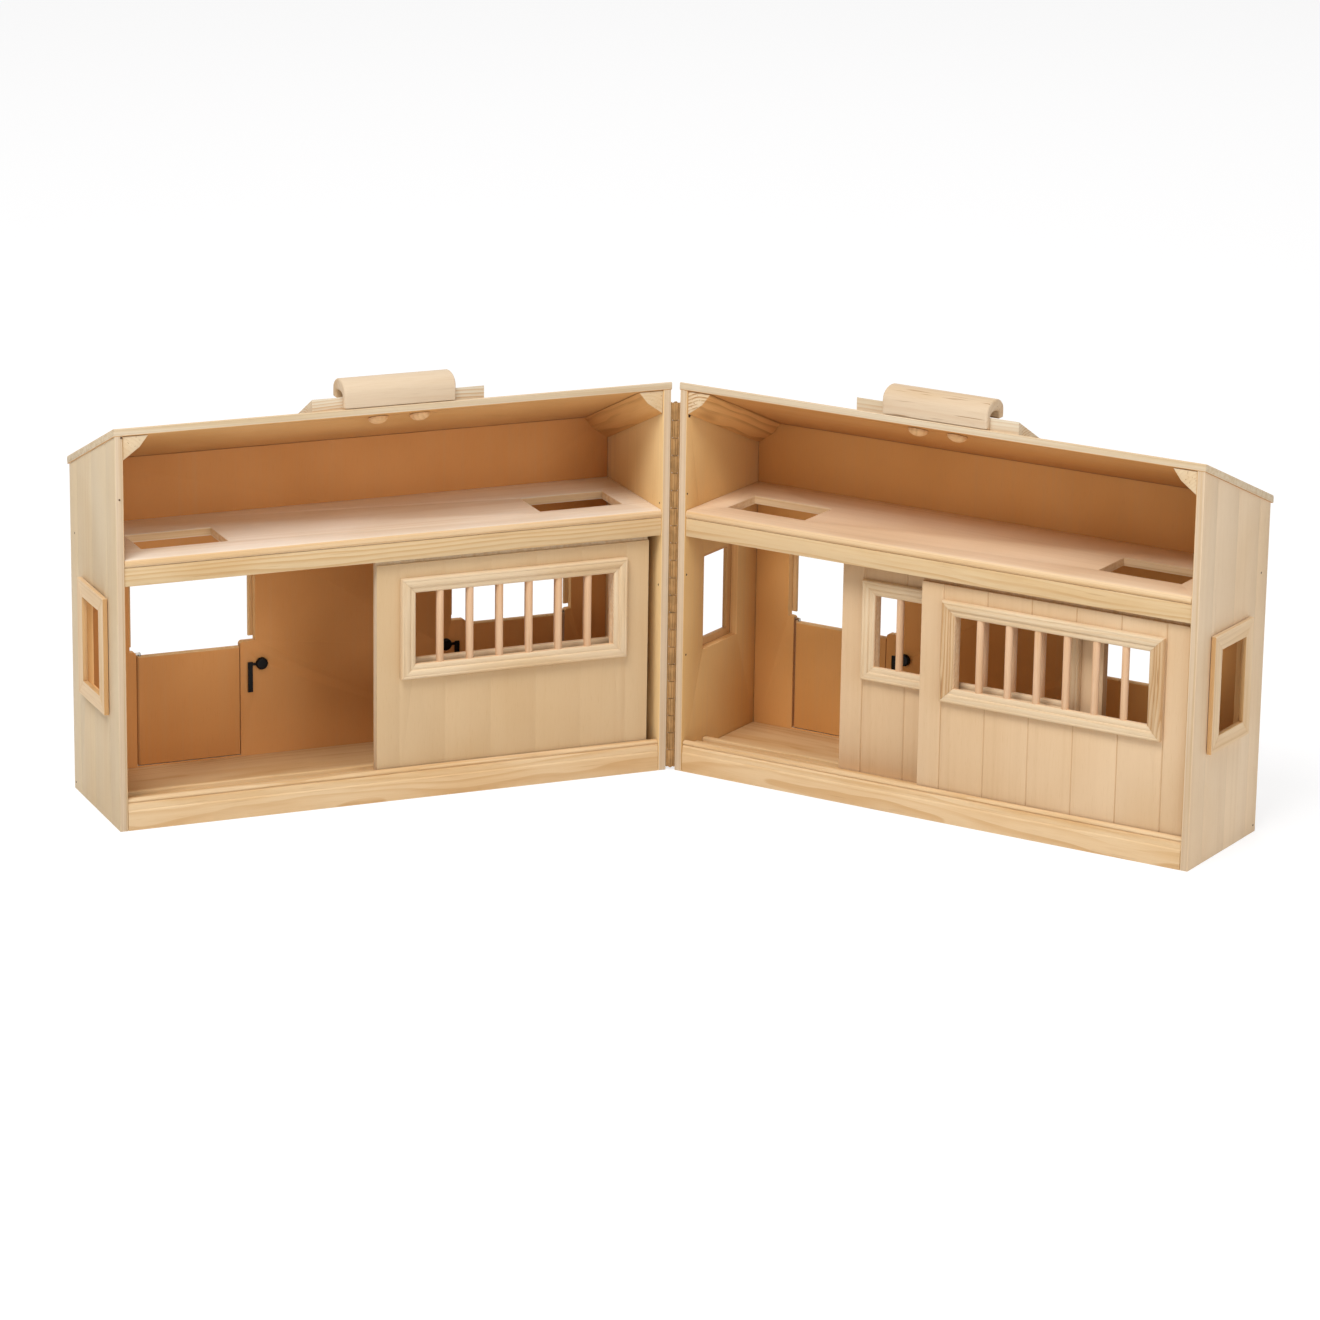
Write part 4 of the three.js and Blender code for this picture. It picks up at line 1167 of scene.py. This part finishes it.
class BARN_OT_window_frames(BarnStep):
    """Builds the moulded frames round the windows in the end walls"""

    bl_idname = "barn.window_frames"
    bl_label = "Window frames"

    def execute(self, context):
        source = moulded_frame("end_window_frame", *END_WINDOW, stepped=False)
        for side in SIDES:
            self.window_frame(side, "hinge", 0.0, -90, source)
            self.window_frame(side, "far", HALF_LENGTH, 90, source)
        dropped(source)
        return {"FINISHED"}

    def window_frame(self, side, end, u, turn, source):
        c = colours()
        v, z = END_WINDOW_MIDDLE
        facing = Matrix.Rotation(math.radians(turn), 4, "Z")
        matrix = half_matrix(side) @ Matrix.Translation((u, v, z)) @ facing
        piece = placed(twin(source, f"{side}_{end}_window_moulding"), matrix)
        look = dict(late=c.moulding_ring, strength=0.4, wander=0.01)
        place = (u + 0.025, v, 0)
        filled_slots(
            piece,
            pine(
                f"{end} window rail", side, ACROSS, UP, (u + 0.02, 0, z + 0.01),
                early=c.window_wood, **look,
            ),
            pine(f"{end} window stile", side, UP, ACROSS, place, early=c.window_wood, **look),
            # The reveals and edges take the darker window edge colour: painted shade
            pine(f"{end} window reveal", side, UP, ACROSS, place, early=c.window_edge, **look),
        )
        finished(piece, body_of_half(side), None, "pine", f"{side}_{end}_window_frame")


class BARN_OT_half_doors(BarnStep):
    """Dresses the half doors, their pivot wires, the hatch casings and the turn latches"""

    bl_idname = "barn.half_doors"
    bl_label = "Half doors"

    def execute(self, context):
        for side in SIDES:
            for doorway in DOORWAYS:
                self.half_door(side, doorway)
                wire = f"{side}_{doorway}_pivot_wire"
                finished(
                    smoothed(copy_of_node(wire)), body_of_half(side), metal_finish("steel"), "steel", wire,
                )
                latch = f"{side}_{doorway}_turn_latch"
                piece = eased(self.domed(copy_of_node(latch), side), 0.25 * MM)
                finished(piece, latch, metal_finish("black"), "black_metal", latch)
                self.hatch_casing(side, doorway)
        return {"FINISHED"}

    def half_door(self, side, doorway):
        c = colours()
        node, name = f"{side}_{doorway}_half_door", f"{doorway} half door"
        place = DOORWAYS[doorway], HALF_DEPTH - WALL_THICKNESS / 2, 0
        # Its inner face takes the darker inside colour: partly painted shade
        material = plywood(
            name, side, UP, ALONG, place, HALF_DOOR_THICKNESS, inside=of_side("inside", side),
            strength=0.3, edge=c.casing,
        )
        piece = from_node(side, node, material, "board", sizes().board_edge, body=node)
        # The half door's ends take the dark jamb colour: painted shade
        ends = plain_cut(f"{name} ends", side, UP, ALONG, place, HALF_DOOR_THICKNESS, c.shaded_jamb)
        second_finish(piece, side, lambda at, normal: abs(normal.x) > 0.5, ends)

    def hatch_casing(self, side, doorway):
        c = colours()
        node = f"{side}_{doorway}_hatch_casing"
        material = pine(
            f"{doorway} hatch casing", side, UP, ALONG, (HATCHES[doorway], HALF_DEPTH + 0.03, 0),
            early=c.casing, late=c.pine_ring, strength=0.5,
        )
        from_node(side, node, material, "pine", sizes().board_edge)

    def domed(self, piece, side):
        """Rounds the front of the latch's knob."""
        back = half_matrix(side).inverted()
        points = [back @ v.co for v in piece.data.vertices]
        front = min(p.y for p in points)
        top = max(p.z for p in points)
        crown = [p.x for p in points if p.z > top - 0.4 * MM]
        middle = Vector(((min(crown) + max(crown)) / 2, 0, top - KNOB_RADIUS))

        def on_rim(edge):
            for index in edge.vertices:
                point = points[index]
                reach = Vector((point.x - middle.x, 0, point.z - middle.z)).length
                if point.y > front + NEAR or reach < 0.97 * KNOB_RADIUS:
                    return False
            return True

        pick(piece, on_rim, "EDGE")
        bpy.ops.mesh.bevel(offset=KNOB_ROUNDING, segments=6, clamp_overlap=True)
        done_editing()
        return piece


class BARN_OT_handles(BarnStep):
    """Dresses the carrying grips, their planks and the wooden plugs"""

    bl_idname = "barn.handles"
    bl_label = "Handles"

    def execute(self, context):
        c, s = colours(), sizes()
        for side in SIDES:
            shift = 0.2 if side == "left" else 0.75
            grip = pine(
                "grip wood", side, ALONG, UP, (shift, 45 * MM, RIDGE - 20 * MM),
                early=c.handle, late=c.handle_ring, spacing=3.4 * MM, strength=0.3, wander=0.008,
                dashes=0.1 if side == "left" else 0.8,
            )
            plank = pine(
                "plank wood", side, ALONG, UP, (shift + 0.3, 20 * MM, RIDGE - 25 * MM),
                early=c.plank, spacing=1.9 * MM, strength=0.7, wander=0.007, dashes=0.4,
            )
            plug = pine(
                "plug wood", side, UP, ALONG, (0.19, 0.03, RIDGE),
                early=c.plug, late=c.block_ring, strength=0.25,
            )
            for name, material, width in (
                ("handle_grip", grip, s.strip_edge), ("handle_plank", plank, s.strip_edge),
                ("handle_plug_1", plug, 0.2 * MM), ("handle_plug_2", plug, 0.2 * MM),
            ):
                from_node(side, f"{side}_{name}", material, "handle_wood", width)
        return {"FINISHED"}


class BARN_OT_hinge(BarnStep):
    """Builds the long hinge: its screwed leaves, rolled knuckles and pin"""

    bl_idname = "barn.hinge"
    bl_label = "Long hinge"

    def execute(self, context):
        for side in SIDES:
            node = f"{side}_hinge_leaf"
            leaf = placed(self.leaf(node, 1 if side == "right" else 0), half_matrix(side))
            finished(leaf, body_of_half(side), metal_finish("brass"), "brass", node)
        pin = "left_hinge_pin"
        finished(smoothed(copy_of_node(pin)), body_of_half("left"), metal_finish("brass"), "brass", pin)
        return {"FINISHED"}

    def leaf(self, node, first):
        """A leaf with every second knuckle, from the first one on, and its screws."""
        low, high = (corner.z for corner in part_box(node))
        far = -LEAF_NEAR - LEAF_THICKNESS
        pitch = (high - low) / KNUCKLES
        plate = block("plate", (far, LEAF_START, low), (-LEAF_NEAR, LEAF_WIDTH, high))
        knuckle_places = [(0, 0, low + i * pitch) for i in range(first, KNUCKLES, 2)]
        screw_places = [(0, 0, low + (i + 0.5) * (high - low) / SCREWS) for i in range(SCREWS)]
        return joined(
            f"{node}_piece", eased(plate, 0.15 * MM),
            *row_of("knuckle", self.knuckle(far, pitch), knuckle_places),
            *row_of("screw", self.screw(far), screw_places),
        )

    def knuckle(self, far, pitch):
        """The lowest knuckle: a slit tube with a strip that joins it to the leaf."""
        radius = sizes().knuckle_radius
        low, high = KNUCKLE_GAP / 2, pitch - KNUCKLE_GAP / 2
        tube = rod("knuckle", radius, (-SETOUT, 0, low), (-SETOUT, 0, high))
        hollowed(tube, block(
            "slit", (-SETOUT + SLIT[0], -3 * MM, -1 * MM),
            (-SETOUT + SLIT[1], WEB_DEPTH - radius, 1.5 * pitch),
        ))
        eased(tube, 0.12 * MM)
        web = block("web", (-SETOUT + 0.8 * radius, LEAF_START, low), (far + OVERLAP, WEB_DEPTH, high))
        return joined("knuckle", web, tube)

    def screw(self, face):
        """A low screw head with a slot, standing on the leaf's outer face."""
        start, end = (face + OVERLAP, SCREW_PLACE, 0), (face - SCREW_RISE, SCREW_PLACE, 0)
        head = eased(rod("screw", SCREW_RADIUS, start, end, 20), 0.2 * MM)
        reach = SCREW_RADIUS + 0.4 * MM
        hollowed(head, block(
            "slot", (face - 0.6 * MM, SCREW_PLACE - reach, -SLOT_WIDTH / 2),
            (face - SLOT_BOTTOM, SCREW_PLACE + reach, SLOT_WIDTH / 2),
        ))
        return head


class BARN_PT_panel(bpy.types.Panel):
    """Lists the steps that dress the barn"""

    bl_idname = "BARN_PT_panel"
    bl_label = "Toy Barn"
    bl_space_type = "VIEW_3D"
    bl_region_type = "UI"
    bl_category = "Toy Barn"

    def draw(self, context):
        layout = self.layout
        for operator in STEPS:
            layout.operator(operator.bl_idname)
        for title, group in (("Sizes", context.scene.barn_sizes), ("Colours", context.scene.barn_colours)):
            layout.label(text=title)
            for key in group.__annotations__:
                layout.prop(group, key)


STEPS = (
    BARN_OT_stage,
    BARN_OT_walls,
    BARN_OT_floors,
    BARN_OT_sliding_doors,
    BARN_OT_window_frames,
    BARN_OT_half_doors,
    BARN_OT_handles,
    BARN_OT_hinge,
)
CLASSES = (BarnSizes, BarnColours) + STEPS + (BARN_PT_panel,)


def register():
    for kind in CLASSES:
        bpy.utils.register_class(kind)
    bpy.types.Scene.barn_sizes = PointerProperty(type=BarnSizes)
    bpy.types.Scene.barn_colours = PointerProperty(type=BarnColours)


def unregister():
    del bpy.types.Scene.barn_colours
    del bpy.types.Scene.barn_sizes
    for kind in reversed(CLASSES):
        bpy.utils.unregister_class(kind)


def main():
    register()
    bpy.ops.object.select_all(action="DESELECT")
    bpy.ops.barn.stage()
    bpy.ops.barn.walls()
    bpy.ops.barn.floors()
    bpy.ops.barn.sliding_doors()
    bpy.ops.barn.window_frames()
    bpy.ops.barn.half_doors()
    bpy.ops.barn.handles()
    bpy.ops.barn.hinge()


if __name__ == "__main__":
    main()
